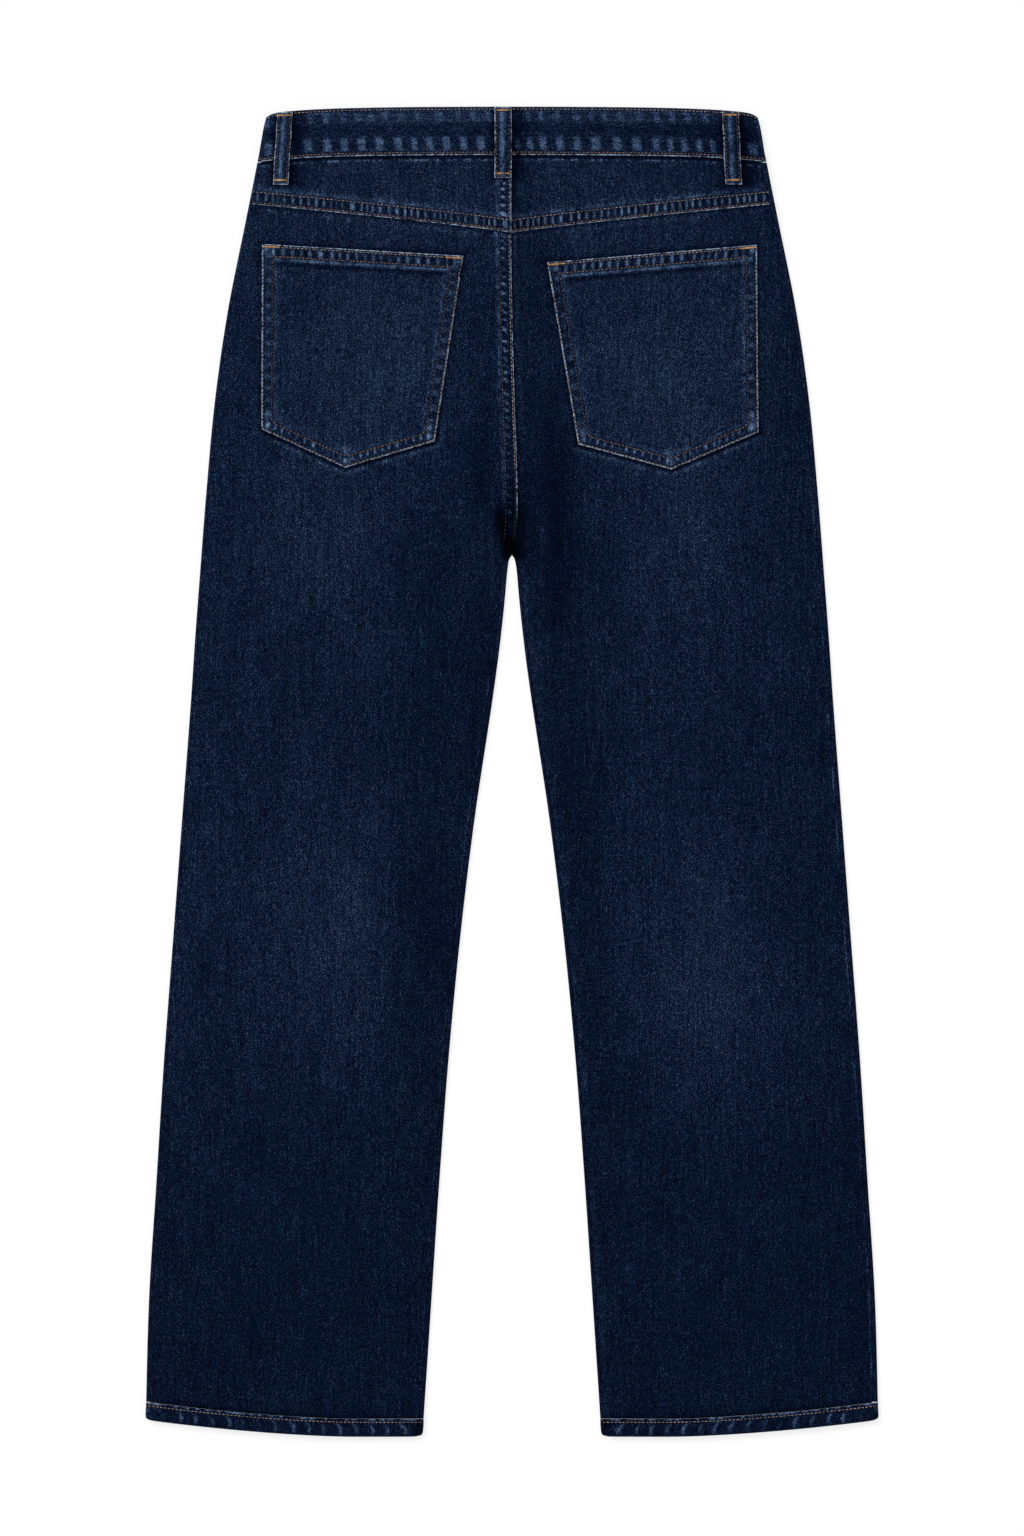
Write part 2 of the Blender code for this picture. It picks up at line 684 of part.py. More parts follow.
def main():
    for item in list(bpy.data.objects):
        bpy.data.objects.remove(item)
    parts = bpy.data.collections.new("oversized_jeans")
    bpy.context.scene.collection.children.link(parts)
    for side in SIDES:
        make_back_panel(side, parts)
        make_yoke(side, parts)
        make_front_panel(side, parts)
        make_pocket_facing(side, parts)
        make_hem(side, parts)
    for pocket in POCKETS:
        make_back_pocket(pocket, parts)
    make_waistband(parts)
    for loop in BACK_LOOPS:
        make_back_loop(loop, parts)
    for loop in FRONT_LOOPS:
        make_front_loop(loop, parts)
    make_zip(parts)
    make_button(parts)


main()
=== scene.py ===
import math
import bpy
import numpy as np
from numpy import array, clip, concatenate, cos, exp, linspace, maximum, minimum, radians, sin
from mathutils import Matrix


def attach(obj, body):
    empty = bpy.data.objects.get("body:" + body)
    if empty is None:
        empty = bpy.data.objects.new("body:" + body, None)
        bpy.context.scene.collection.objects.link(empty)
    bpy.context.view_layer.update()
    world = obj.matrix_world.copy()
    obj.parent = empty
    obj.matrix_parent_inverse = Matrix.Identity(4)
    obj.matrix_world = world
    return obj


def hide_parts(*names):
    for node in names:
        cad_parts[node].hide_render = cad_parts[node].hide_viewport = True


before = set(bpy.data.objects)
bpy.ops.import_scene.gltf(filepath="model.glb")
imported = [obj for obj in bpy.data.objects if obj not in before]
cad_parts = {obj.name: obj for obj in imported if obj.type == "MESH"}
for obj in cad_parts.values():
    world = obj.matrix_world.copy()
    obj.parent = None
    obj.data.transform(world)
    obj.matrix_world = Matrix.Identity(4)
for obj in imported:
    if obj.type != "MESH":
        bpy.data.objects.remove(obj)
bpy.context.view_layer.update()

# Oversized jeans laid flat, back side up. Lengths are in millimetres and mm turns them into
# metres. A place is given as across (+ to the wearer's right) and down from the waist.
mm = 0.001
sides = {"left": -1, "right": 1}

studio = {"floor": 0.20, "floorGlow": 0.79, "floorDrop": 0.4, "floorHalf": 4.0, "sky": 0.52, "key": 2.3,
          "keyFrom": (-1.0, 1.1, 1.7), "keySoftness": 28, "distance": 12.0, "frameHeight": 1228.8,
          "frameShift": 3.0, "film": 36.0, "farClip": 50.0}


def addObject(name, data):
    thing = bpy.data.objects.new(name, data)
    bpy.context.scene.collection.objects.link(thing)
    return thing


def camera():
    lens = bpy.data.cameras.new("camera")
    lens.sensor_width = studio["film"]
    lens.lens = studio["film"] * studio["distance"] / (studio["frameHeight"] * mm)
    lens.clip_end = studio["farClip"]
    eye = addObject("camera", lens)
    eye.location = (0.0, studio["frameShift"] * mm, studio["distance"])
    bpy.context.scene.camera = eye
    bpy.context.scene.view_settings.view_transform = "Standard"


camera()

garment = {
    "length": 1063.6, "fork": 359.6, "forkRound": 18.8, "forkOpen": 4.4, "forkPower": 0.36,
    "gap": 0.3, "denim": 1.2, "edgeFlat": 4.0, "nowhereNear": 99.0,
    "waistTop": 6.0, "legTop": 3.4, "waistRise": 1.7, "hemLift": 1.5, "hemRise": 0.3,
    "wrapShown": 2.1, "wrapHidden": 0.5,  # front cloth that shows on top, past the edge
    "yokeSide": 77.6, "yokeCentre": 100.8, "yokePower": 0.88,
    "sideDrop": 5.6, "frontDip": 14.0, "hemSweep": 13.4, "hemFlat": 0.25, "hemPower": 1.6,
}
sections = {  # outline of the laid garment, and how high its middle lies above its edges
    "down": [0, 44, 90.4, 162.4, 234.4, 306.4, 378.4, 426.4, 474.4, 570.4, 666.4, 762.4,
             858.4, 954.4, 1063.6],
    "outer": [195.8, 203.6, 212.8, 227.2, 237.6, 244.4, 250, 253.6, 256.8, 264, 271.2, 278.4,
              284.4, 290.4, 293.3],
    "inner": [0, 0, 0, 0, 0, 0, 4.4, 9.2, 15.6, 30, 41.6, 50.8, 58, 64.4, 71.6],
    "crown": [1.5, 1.7, 2, 2.2, 2.2, 2, 2, 2.1, 2.2, 2.2, 2.2, 2.2, 2.1, 1.9, 1.2],
}
seatSeam = {"down": [38, 130, 241, 290, 338, 359.6], "across": [-0.4, -0.4, 2.3, 4.1, 4.0, 0.0]}
creases = [  # soft troughs: from across, down to across, down, then depth and width
    (24, 222, 44, 405, 0.9, 13), (-24, 262, -20, 335, 0.7, 11), (-72, 370, -64, 560, 0.7, 16),
    (60, 440, 92, 600, 0.5, 16), (-10, 352, -52, 288, 0.45, 7), (12, 356, 60, 300, 0.4, 7),
    (-225, 150, -206, 330, 0.35, 9), (228, 170, 212, 352, 0.4, 9), (-120, 470, -150, 700, 0.35, 20),
    (170, 520, 190, 760, 0.4, 22), (-210, 800, -196, 1000, 0.35, 14), (150, 820, 132, 1010, 0.3, 16),
    (-150, 48, -146, 96, 0.3, 7), (96, 46, 90, 100, 0.3, 8), (-62, 44, -56, 92, 0.25, 6),
]
frontCreases = [  # the same on the front, which lies on the surface
    (-16, 246, -74, 330, 0.8, 9), (18, 250, 80, 322, 0.8, 9), (-20, 280, -88, 392, 0.6, 11),
    (22, 284, 96, 386, 0.6, 11), (-150, 160, -120, 300, 0.4, 18), (146, 170, 122, 310, 0.4, 18),
    (-90, 470, -190, 560, 0.5, 15), (104, 500, 200, 580, 0.5, 15), (-110, 640, -210, 700, 0.45, 17),
    (120, 660, 214, 730, 0.45, 17), (-200, 820, -150, 1000, 0.35, 16), (196, 800, 168, 990, 0.35, 16),
]


def lerp(a, b, t):
    return a + (b - a) * t


def unit(value):
    return clip(value, 0, 1)


def ease(start, end, at):
    t = unit((at - start) / (end - start))
    return t * t * (3 - 2 * t)


def read(table, column, down):  # a smooth curve through one column of a table
    xs, ys = array(table["down"], float), array(table[column], float)
    slopes = np.gradient(ys, xs)
    slopes[1:-1] = (ys[2:] - ys[:-2]) / (xs[2:] - xs[:-2])
    at = clip(down, xs[0], xs[-1])
    k = clip(np.searchsorted(xs, at, side="right") - 1, 0, len(xs) - 2)
    span = xs[k + 1] - xs[k]
    t = (at - xs[k]) / span
    rise, start, end = ys[k + 1] - ys[k], slopes[k] * span, slopes[k + 1] * span
    return ys[k] + t * (start + t * (3 * rise - 2 * start - end + t * (start + end - 2 * rise)))


def wander(along, step, seed):  # smooth noise from -1 to 1 along a line
    values = np.random.RandomState(seed).uniform(-1, 1, 4096)
    at = np.asarray(along, float) / step + 1000
    k = np.floor(at).astype(int)
    t = at - k
    return lerp(values[k % 4096], values[(k + 1) % 4096], t * t * (3 - 2 * t))


def wander2(across, down, stepAcross, stepDown, seed):  # the same over a surface
    values = np.random.RandomState(seed).uniform(-1, 1, (64, 64))
    a, b = np.asarray(across) / stepAcross + 32, np.asarray(down) / stepDown
    i, j = np.floor(a).astype(int), np.floor(b).astype(int)
    ta, tb = ease(0, 1, a - i), ease(0, 1, b - j)
    low = lerp(values[i % 64, j % 64], values[(i + 1) % 64, j % 64], ta)
    high = lerp(values[i % 64, (j + 1) % 64], values[(i + 1) % 64, (j + 1) % 64], ta)
    return lerp(low, high, tb)


def ripple(along, pitch, seed):  # the uneven waves that a seam draws into cloth, -1 to 1
    drift = 0.42 * wander(along, pitch * 2.1, seed)
    swell = 0.72 + 0.28 * wander(along, pitch * 1.4, seed + 1)
    return swell * cos(2 * math.pi * (np.asarray(along) / pitch + drift))


def outer(down):
    return read(sections, "outer", down)


def inner(down):  # half the gap between the legs, rounded at the fork
    past = unit((down - garment["fork"]) / garment["forkRound"])
    opening = garment["forkOpen"] * past ** garment["forkPower"]
    return np.where(past < 1, opening, read(sections, "inner", down))


def buttonBump(across, down):  # how far the waist button lifts the cloth over it
    far = (across - button["across"]) ** 2 + (down - button["down"]) ** 2
    return button["bump"] * exp(-far / (2 * button["bumpWidth"] ** 2))


def under(across, down):  # lower face of the front cloth
    level = garment["waistRise"] * (1 - ease(80, 140, down))
    dents = creaseDepth(frontCreases, across, down) * crownShare(across, down)
    return level + garment["hemRise"] * ease(985, 1045, down) + buttonBump(across, down) + dents


def edgeTop(down):
    waist = (garment["waistTop"] - garment["legTop"]) * (1 - ease(50, 150, down))
    return garment["legTop"] + waist + garment["hemLift"] * ease(985, 1050, down)


def edgeRound(down):
    return (edgeTop(down) - under(outer(down), down)) / 2


def crownShare(across, down):  # 0 at the folded edges, 1 in the middle
    side, fold = outer(down) - garment["edgeFlat"], inner(down) + garment["edgeFlat"]
    hips = 1 - minimum(1, abs(across) / side) ** 4
    share = unit((abs(across) - fold) / (side - fold))
    leg = 1 - abs(2 * share - 1) ** 4
    return lerp(hips, leg, ease(garment["fork"] - 90, garment["fork"], down))


def creaseDepth(troughs, across, down):
    total = 0.0
    for x, d, xEnd, dEnd, depth, width in troughs:
        run = unit((down - d) / (dEnd - d))
        off = (across - lerp(x, xEnd, run)) / width
        total += depth * sin(math.pi * run) * exp(-off * off / 2)
    return total


def top(across, down):  # upper face of the back cloth, without its seams
    crown = read(sections, "crown", down) - creaseDepth(creases, across, down)
    crown += 0.45 * wander2(across, down, 62, 150, 3) + 0.16 * wander2(across, down, 21, 60, 4)
    return edgeTop(down) + crown * crownShare(across, down) + 0.9 * buttonBump(across, down)


def bandDrop(across, edge, back):
    share = minimum(1, abs(across) / edge)
    if back:
        return garment["sideDrop"] * (0.34 * share**2 + 0.66 * share**6)
    return garment["sideDrop"] + garment["frontDip"] * (1 - share**2)


def bandLow(across, back):
    return band["height"] + bandDrop(across, outer(band["height"] + garment["sideDrop"]), back)


def yokeLow(across):
    share = minimum(1, abs(across) / outer(garment["yokeSide"]))
    return lerp(garment["yokeCentre"], garment["yokeSide"], share**garment["yokePower"])


def hemLow(across):
    fold, side = inner(garment["length"]), outer(garment["length"])
    share = unit((abs(across) - fold) / (side - fold))
    past = clip((share - garment["hemFlat"]) / (1 - garment["hemFlat"]), 0, None)
    return garment["length"] - garment["hemSweep"] * past ** garment["hemPower"]


def hemHigh(across):
    return hemLow(across) - hem["height"]


# How faded the indigo is, from 0, deep, to 1, washed out; some patches below are painted shade instead
fadeDown = {
    "down": [0, 60, 110, 160, 200, 300, 350, 420, 520, 620, 700, 780, 860, 950, 1063],
    "level": [0.32, 0.28, 0.25, 0.20, 0.23, 0.21, 0.20, 0.19, 0.17, 0.20, 0.19, 0.15, 0.09, 0.07, 0.06],
}
fadeAndShadePatches = [  # across, down, half width, half length, strength
    (-150, 345, 58, 62, 0.12), (150, 345, 56, 64, 0.10), (-140, 660, 52, 100, 0.10),
    (158, 712, 56, 92, 0.14), (-100, 200, 60, 70, 0.10), (112, 204, 60, 70, 0.09),
    # Painted shade: the strongly dark patches on this line and the two below fill the crotch hollow and
    # the troughs beside the seat seam.
    (-10, 328, 3.5, 8, -1.00), (-7, 337, 4, 8, -1.40), (-2, 349, 5, 6, -2.00), (0, 357, 6, 4.5, -2.00),
    (8, 334, 3, 12, -0.45), (26, 336, 5, 20, 0.14),
    (32, 290, 12, 60, -0.22), (38, 372, 14, 84, -0.24), (-27, 296, 12, 44, -0.12),
    (-4, 214, 46, 100, -0.10), (66, 352, 34, 60, -0.08),
    (-80, 366, 20, 50, -0.10), (-56, 424, 26, 90, -0.10), (-22, 450, 14, 80, -0.12),
    (-78, 690, 24, 150, -0.10), (60, 620, 20, 160, -0.12), (200, 330, 34, 70, -0.08),
    (220, 650, 36, 130, -0.09), (6, 50, 20, 16, -0.08), (172, 66, 28, 50, -0.08),
    # Painted shade in the crotch hollow: the first two patches on this line.
    (9, 335, 9, 50, -0.26), (-1, 322, 6, 24, -0.40), (-62, 645, 24, 72, -0.12), (44, 548, 14, 40, -0.10),
    (105, 775, 40, 50, -0.06), (14, 106, 18, 30, -0.13), (-22, 288, 10, 34, -0.12),
    (58, 262, 12, 20, -0.06),
    (150, 20, 26, 22, -0.06), (216, 225, 12, 60, -0.06), (-238, 700, 18, 50, -0.05),
    (140, 30, 50, 34, -0.06), (44, 18, 30, 18, -0.05), (-170, 159, 20, 14, -0.05),
    (106, 159, 24, 12, -0.06), (-96, 370, 16, 30, -0.05),
]


def fading(at, width):  # 1 at an edge, dying away inside it
    return exp(-clip(at, 0, None) / width)


def bell(at, middle, width):
    return exp(-(((at - middle) / width) ** 2))


def marks(along, step, seed, base=0.6, swing=0.6):  # uneven strength along a line, 0 to 1
    return unit(base + swing * wander(along, step, seed))


def fadeAndShadeAt(across, down):
    level = read(fadeDown, "level", down)
    for x, d, halfWidth, halfLength, strength in fadeAndShadePatches:
        level += strength * bell(across, x, halfWidth) * bell(down, d, halfLength)
    side, fold = outer(down) - abs(across), abs(across) - inner(down)
    # Painted light along the outline: the right edge is darkened as painted shade and the left edge
    # lightened as painted light, the key light coming from the left; near their inner folds the legs are
    # darkened as painted shade.
    level += np.where(across > 0, -0.10, 0.02) * fading(side, 14)
    level = level - 0.07 * ease(garment["fork"] + 20, garment["fork"] + 60, down) * fading(fold, 10)
    return level + 0.03 * wander2(across, down, 26, 40, 8) + 0.03 * wander2(across, down, 8, 17, 9)


def raisedSeam(inset, width, proud):  # rounded edge, level top, short slope
    return proud * (1 - 0.5 * exp(-inset / 0.45)) * (1 - ease(width, width + 1, inset))


def between(at, start, end):  # 0 outside a band, 1 in its middle
    return sin(math.pi * unit((at - start) / (end - start))) ** 0.7


def brokenEdge(inset, along, strength, seed):  # the pale, uneven line rubbed on a folded edge
    patchy = 0.75 + 0.60 * wander(along, 2.3, seed) + 0.30 * wander(along, 19, seed + 1)
    return strength * exp(-((inset / 0.46) ** 2)) * clip(patchy, 0.05, 1.5)


# The pucker crests are rubbed pale, and the troughs and the stitch grooves are darkened as painted shade.
def sewnBand(inset, along, sewing, seed):  # relief, fade and shade, and wear between two rows of stitches
    wave = ripple(along + sewing["slant"] * inset, sewing["pitch"], seed)
    crest = unit((wave - sewing["crestFrom"]) / (1 - sewing["crestFrom"]))
    middle = between(inset, sewing["rowIn"] + sewing["blobIn"], sewing["rowOut"])
    rows = bell(inset, sewing["rowIn"], 0.7) + bell(inset, sewing["rowOut"], 0.7)
    relief = sewing["pucker"] * wave * between(inset, sewing["rowIn"] - 0.9, sewing["rowOut"] + 1.2)
    fadeAndShade = (sewing["blob"] * crest - sewing["valley"] * (1 - crest)) * middle - 0.26 * rows
    ridge = bell(inset, sewing["rowOut"] + sewing["ridgeAt"], 1.3)
    ridge = ridge * (0.8 + 0.6 * wander(along, 4, seed + 5))
    wear = brokenEdge(inset, along, sewing["edgeWear"], seed + 6) + sewing["rubbed"] * crest * middle
    return relief - 0.16 * rows, fadeAndShade + sewing["ridge"] * ridge, wear


def speckled(distance, middle, width, along, pitch, seed):  # pale marks beside a seam
    return bell(distance, middle, width) * marks(along, pitch, seed, 0.45, 0.75)


def outseamWrap(side):
    return garment["wrapShown"] if side == "right" else garment["wrapHidden"]


def inseamWrap(side):
    return garment["wrapShown"] if side == "left" else garment["wrapHidden"]


print("garment set out")

# Finishes. The denim reads three fields of each piece: fade and shade, how washed the indigo is together
# with painted shade and painted light, wear, how far its edges are rubbed pale, and beside, the
# millimetres to the cloth that lies over it, from which the denim paints a contact shadow.

denimLook = {
    "colours": [(0.0003, 0.0012, 0.0060), (0.0016, 0.0060, 0.0225), (0.0052, 0.0142, 0.0425),
                (0.0160, 0.0330, 0.0790), (0.0500, 0.0850, 0.1560), (0.1100, 0.1800, 0.3100)],
    "worn": (0.340, 0.450, 0.610), "stepSize": 0.25, "blackAt": 1.5, "blackSlope": 0.85,
    "grain": 3.3, "streak": 0.86, "slub": 0.50, "mottle": 0.12, "twill": 0.12,
    "twillPitch": 1.7, "bump": 0.14, "sheen": 0.015, "shine": 0.015, "paintedShadowDark": 0.50,
    "paintedShadowReach": 0.60, "besideFrom": -2.0, "twillTurn": 33, "wornGrain": 3.0, "wornPatchy": 5.0,
    "wornFrom": 4.1,
}
# The darkest thread is the rust darkened as painted shade, for the seat rows nearest the fork.
threadColours = {"tan": (0.315, 0.232, 0.176), "rust": (0.24, 0.134, 0.074), "dim": (0.105, 0.068, 0.050),
                 "shadedRust": (0.030, 0.021, 0.017), "tack": (0.62, 0.31, 0.10)}


def addNode(tree, kind, inputs, out=0, **settings):  # inputs are outputs to link, or plain values
    node = tree.nodes.new(kind)
    for key, value in settings.items():
        setattr(node, key, value)
    for key, value in inputs.items():
        if isinstance(value, bpy.types.NodeSocket):
            tree.links.new(value, node.inputs[key])
        else:
            node.inputs[key].default_value = value
    return node.outputs[out]


def newMaterial(name):
    made = bpy.data.materials.new(name)
    made.use_nodes = True
    tree = made.node_tree
    return made, tree, tree.nodes["Principled BSDF"], addNode(tree, "ShaderNodeTexCoord", {}, "Object")


def setShader(tree, shader, colour, rough, relief=None):  # relief is height, strength and depth in mm
    tree.links.new(colour, shader.inputs["Base Color"])
    tree.links.new(rough, shader.inputs["Roughness"])
    if relief:
        height, strength, depth = relief
        bump = {"Height": height, "Strength": strength, "Distance": depth * mm}
        tree.links.new(addNode(tree, "ShaderNodeBump", bump), shader.inputs["Normal"])


def maths(operation, a, b, clamp=False):
    tree = (a if isinstance(a, bpy.types.NodeSocket) else b).id_data
    return addNode(tree, "ShaderNodeMath", {0: a, 1: b}, operation=operation, use_clamp=clamp)


def scaled(value, factor, base, clamp=False):
    return maths("ADD", maths("MULTIPLY", value, factor), base, clamp)


def noiseAt(place, scale, stretch=(1, 1, 1), turn=0.0, detail=1.0, shift=0.0):
    tree = place.id_data
    laid = {"Vector": place, "Rotation": (0, 0, turn), "Scale": stretch, "Location": (shift, shift, shift)}
    laid = addNode(tree, "ShaderNodeMapping", laid, vector_type="TEXTURE")
    # tilted, so that the grain is as strong at every height
    tilt = (radians(36), radians(27), 0)
    tilted = addNode(tree, "ShaderNodeMapping", {"Vector": laid, "Rotation": tilt})
    noise = {"Vector": tilted, "Scale": scale, "Detail": detail, "Roughness": 0.6}
    return addNode(tree, "ShaderNodeTexNoise", noise)


def mixColours(factor, a, b):  # sockets 6, 7 and 2 are the node's colours
    a, b = ((*value, 1) if isinstance(value, tuple) else value for value in (a, b))
    return addNode(factor.id_data, "ShaderNodeMix", {"Factor": factor, 6: a, 7: b}, 2, data_type="RGBA")


def field(tree, name):
    return addNode(tree, "ShaderNodeAttribute", {}, "Fac", attribute_name=name)


def denim(name, grainTurn=0.0, shift=0.0):  # indigo twill; grainTurn turns the warp
    look = denimLook
    made, tree, shader, place = newMaterial(name)
    grain = noiseAt(place, 1560, shift=shift)
    turn = (0, 0, grainTurn + radians(look["twillTurn"]))
    wave = {"Vector": addNode(tree, "ShaderNodeMapping", {"Vector": place, "Rotation": turn}),
            "Scale": 0.314 / (look["twillPitch"] * mm), "Distortion": 0.8, "Detail": 1.0,
            "Detail Scale": 1.5}
    twill = addNode(tree, "ShaderNodeTexWave", wave, "Fac")
    layers = {
        "grain": grain, "twill": twill,
        "streak": noiseAt(place, 1250, (1, 6, 1), grainTurn, 1.0, shift),
        "slub": noiseAt(place, 480, (1, 20, 1), grainTurn, 2.0, shift),
        "mottle": noiseAt(place, 120, detail=2.0, shift=shift),
    }
    # Painted contact shadow: the denim is darkened the closer it lies to cloth over it.
    beside = maths("MAXIMUM", field(tree, "beside"), look["besideFrom"])
    beside = maths("POWER", look["paintedShadowReach"], beside)
    total = maths("SUBTRACT", field(tree, "fadeAndShade"), maths("MULTIPLY", beside, look["paintedShadowDark"]))
    for key, output in layers.items():
        total = maths("ADD", total, maths("MULTIPLY", maths("SUBTRACT", output, 0.5), look[key]))
    # Painted deep shade: far below the darkest step, as in the crotch hollow, the colour sinks to black.
    lit = maths("MULTIPLY", maths("ADD", total, look["blackAt"]), look["blackSlope"], True)
    ramp = tree.nodes.new("ShaderNodeValToRGB")
    steps, last = ramp.color_ramp.elements, len(look["colours"]) - 1
    while len(steps) <= last:
        steps.new(0.5)
    for k, colour in enumerate(look["colours"]):
        steps[k].position, steps[k].color = k / last, (*colour, 1)
    tree.links.new(maths("DIVIDE", total, look["stepSize"] * last), ramp.inputs[0])
    wear, patchy = field(tree, "wear"), noiseAt(place, 430, shift=shift)
    uneven = scaled(grain, look["wornGrain"], maths("MULTIPLY", patchy, look["wornPatchy"]))
    rubbed = scaled(maths("SUBTRACT", uneven, look["wornFrom"]), wear, wear, True)
    shaded = mixColours(lit, (0.0, 0.0, 0.0), ramp.outputs[0])
    setShader(tree, shader, mixColours(rubbed, shaded, look["worn"]), scaled(grain, 0.16, 0.80),
              (scaled(twill, 0.5, grain), look["bump"], 0.25))
    shader.inputs["Specular IOR Level"].default_value = look["shine"]
    shader.inputs["Sheen Weight"].default_value = look["sheen"]
    shader.inputs["Sheen Roughness"].default_value = 0.6
    shader.inputs["Sheen Tint"].default_value = (0.45, 0.55, 0.8, 1)
    return made


def thread(name, colour):  # spun topstitching thread, unevenly dyed
    made, tree, shader, place = newMaterial(name)
    patchy = scaled(maths("SUBTRACT", noiseAt(place, 300), 0.5), 2.4, 0.5, True)
    dark, pale = tuple(c * 0.35 for c in colour), tuple(min(1, c * 1.5) for c in colour)
    strands = noiseAt(place, 2600)
    setShader(tree, shader, mixColours(patchy, dark, pale), scaled(strands, 0.2, 0.6), (strands, 0.4, 0.1))
    shader.inputs["Specular IOR Level"].default_value = 0.2
    return made


def brass(name, colour):  # satin antique metal with rubbed high spots
    made, tree, shader, place = newMaterial(name)
    tarnish = noiseAt(place, 420, detail=4.0)
    dark = tuple(c * 0.5 for c in colour)
    setShader(tree, shader, mixColours(tarnish, dark, colour), scaled(tarnish, 0.3, 0.25))
    shader.inputs["Metallic"].default_value = 1.0
    return made


def zipTape(name):  # woven herringbone tape
    made, tree, shader, place = newMaterial(name)
    weave = addNode(tree, "ShaderNodeTexWave", {"Vector": place, "Scale": 300.0, "Distortion": 0.6}, "Fac")
    colour = mixColours(weave, (0.006, 0.008, 0.016), (0.016, 0.020, 0.036))
    tree.links.new(colour, shader.inputs["Base Color"])
    shader.inputs["Roughness"].default_value = 0.85
    return made


finishes = {
    "legDenim": denim("leg_denim"),
    "yokeDenim": denim("yoke_denim", radians(4), 0.11),
    "pocketDenim": denim("pocket_denim", radians(-3), 0.23),
    "bandDenim": denim("band_denim", radians(90), 0.37),
    "loopDenim": denim("loop_denim", 0.0, 0.41),
    "frontDenim": denim("front_denim", 0.0, 0.53),
    "brass": brass("antique_brass", (0.55, 0.38, 0.19)),
    "zipTape": zipTape("zip_tape"),
    **{key: thread(key + "_thread", colour) for key, colour in threadColours.items()},
}
print("finishes made")


def facePoints(across, down, height):
    across, down, height = np.broadcast_arrays(across, down, height)
    return np.stack([across * mm, (garment["length"] / 2 - down) * mm, height * mm], axis=-1)


def addPiece(name, points, faces, finish, sharp=60):
    mesh = bpy.data.meshes.new(name)
    mesh.from_pydata(points, [], faces)
    mesh.materials.append(finishes[finish])
    mesh.shade_smooth()
    mesh.set_sharp_from_angle(angle=radians(sharp))
    return addObject(name, mesh)


def clothPiece(name, finish, across, down, outside, inside, fadeAndShade, wear=0.0, beside=99.0, acrossIn=None):
    # a closed wall of cloth between an outside and an inside face
    over = facePoints(across, down, outside)
    behind = facePoints(across if acrossIn is None else acrossIn, down, inside)
    rows, columns = over.shape[:2]
    count = rows * columns
    points = concatenate([over.reshape(-1, 3), behind.reshape(-1, 3)])
    index = np.arange(count).reshape(rows, columns)
    corners = index[:-1, :-1], index[:-1, 1:], index[1:, 1:], index[1:, :-1]
    upper = np.stack([c.ravel() for c in corners], axis=1)
    rim = concatenate([index[0, :], index[1:, -1], index[-1, -2::-1], index[-2:0:-1, 0]])
    after = np.roll(rim, -1)
    wall = np.stack([after, rim, rim + count, after + count], axis=1)
    faces = concatenate([upper, upper[:, ::-1] + count, wall])
    a, b, c, d = (points[faces[:, k]] for k in range(4))
    volume = np.einsum("ij,ij->", a, np.cross(b, c)) + np.einsum("ij,ij->", a, np.cross(c, d))
    if volume < 0:
        faces = faces[:, ::-1]
    piece = addPiece(name, points.tolist(), faces.tolist(), finish)
    for key, values in {"fadeAndShade": fadeAndShade, "wear": unit(wear), "beside": beside}.items():
        layer = piece.data.attributes.new(key, "FLOAT", "POINT")
        values = np.broadcast_to(values, (rows, columns)).ravel()
        layer.data.foreach_set("value", concatenate([values, values]).astype(np.float32))
    a, b, c, d = (points[upper[:, k]] for k in range(4))
    piece["area"] = float(np.linalg.norm(np.cross(c - a, d - b), axis=1).sum() / 2)
    return piece


def layCloth(piece, node):  # hand a cloth piece to the frame
    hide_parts(node)
    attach(piece, "root")


def joinParts(parts, whole):  # side by side; item number whole has each part's full shape
    return [concatenate([np.broadcast_to(part[k], part[whole].shape) for part in parts], axis=1)
            for k in range(len(parts[0]))]


# Rows of stitches by thread, kept here until they are sewn at the end
stitchRows = {key: [] for key in threadColours}


def sew(threadName, across, down, height):
    stitchRows[threadName].append(facePoints(across, down, height))


def sewOver(threadName, across, down, lift):  # a row on the back cloth
    sew(threadName, across, down, top(across, down) + lift)


def sewUnder(threadName, across, down):  # a row on the front cloth, which lies underneath
    sew(threadName, across, down, under(across, down) + 0.12)


def sewTack(x, d, xEnd, dEnd, lift):  # a bartack from one place to another
    sewOver("tack", linspace(x, xEnd, 24), linspace(d, dEnd, 24), lift)


# Back patch pockets: pentagons with a hemmed top edge

pocketCuts = {  # corners as distance across from the centre and down from the waist
    "left": {"topIn": (39.0, 119.4), "topOut": (199.8, 109.8), "lowIn": (61.8, 267.4),
             "point": (133.4, 288.7), "lowOut": (200.4, 257.8)},
    "right": {"topIn": (28.2, 124.6), "topOut": (195.8, 110.5), "lowIn": (53.0, 269.9),
              "point": (127.6, 290.1), "lowOut": (197.1, 260.2)},
}
pocket = {"wall": 1.1, "hem": 11.4, "hemProud": 0.45, "tack": 12.0, "cornerCut": 2.6, "stitchStep": 1.2,
          "belly": 0.35, "fadeShift": 0.04}
topEdge = {"rowIn": 1.9, "rowOut": 9.4, "pitch": 7.2, "pucker": 0.24, "blob": 1.05, "valley": 0.20,
           "crestFrom": 0.10, "blobIn": 0.2, "slant": 0.10, "edgeWear": 1.15, "ridge": 0.62,
           "ridgeAt": 2.5, "rubbed": 0.05}
sideEdge = {"rowIn": 1.0, "rowOut": 8.2, "pitch": 9.6, "pucker": 0.24, "blob": 0.50, "valley": 0.08,
            "crestFrom": -0.2, "blobIn": 1.4, "slant": 0.0, "edgeWear": 1.00, "ridge": 0.26,
            "ridgeAt": 2.4, "rubbed": 0.0}
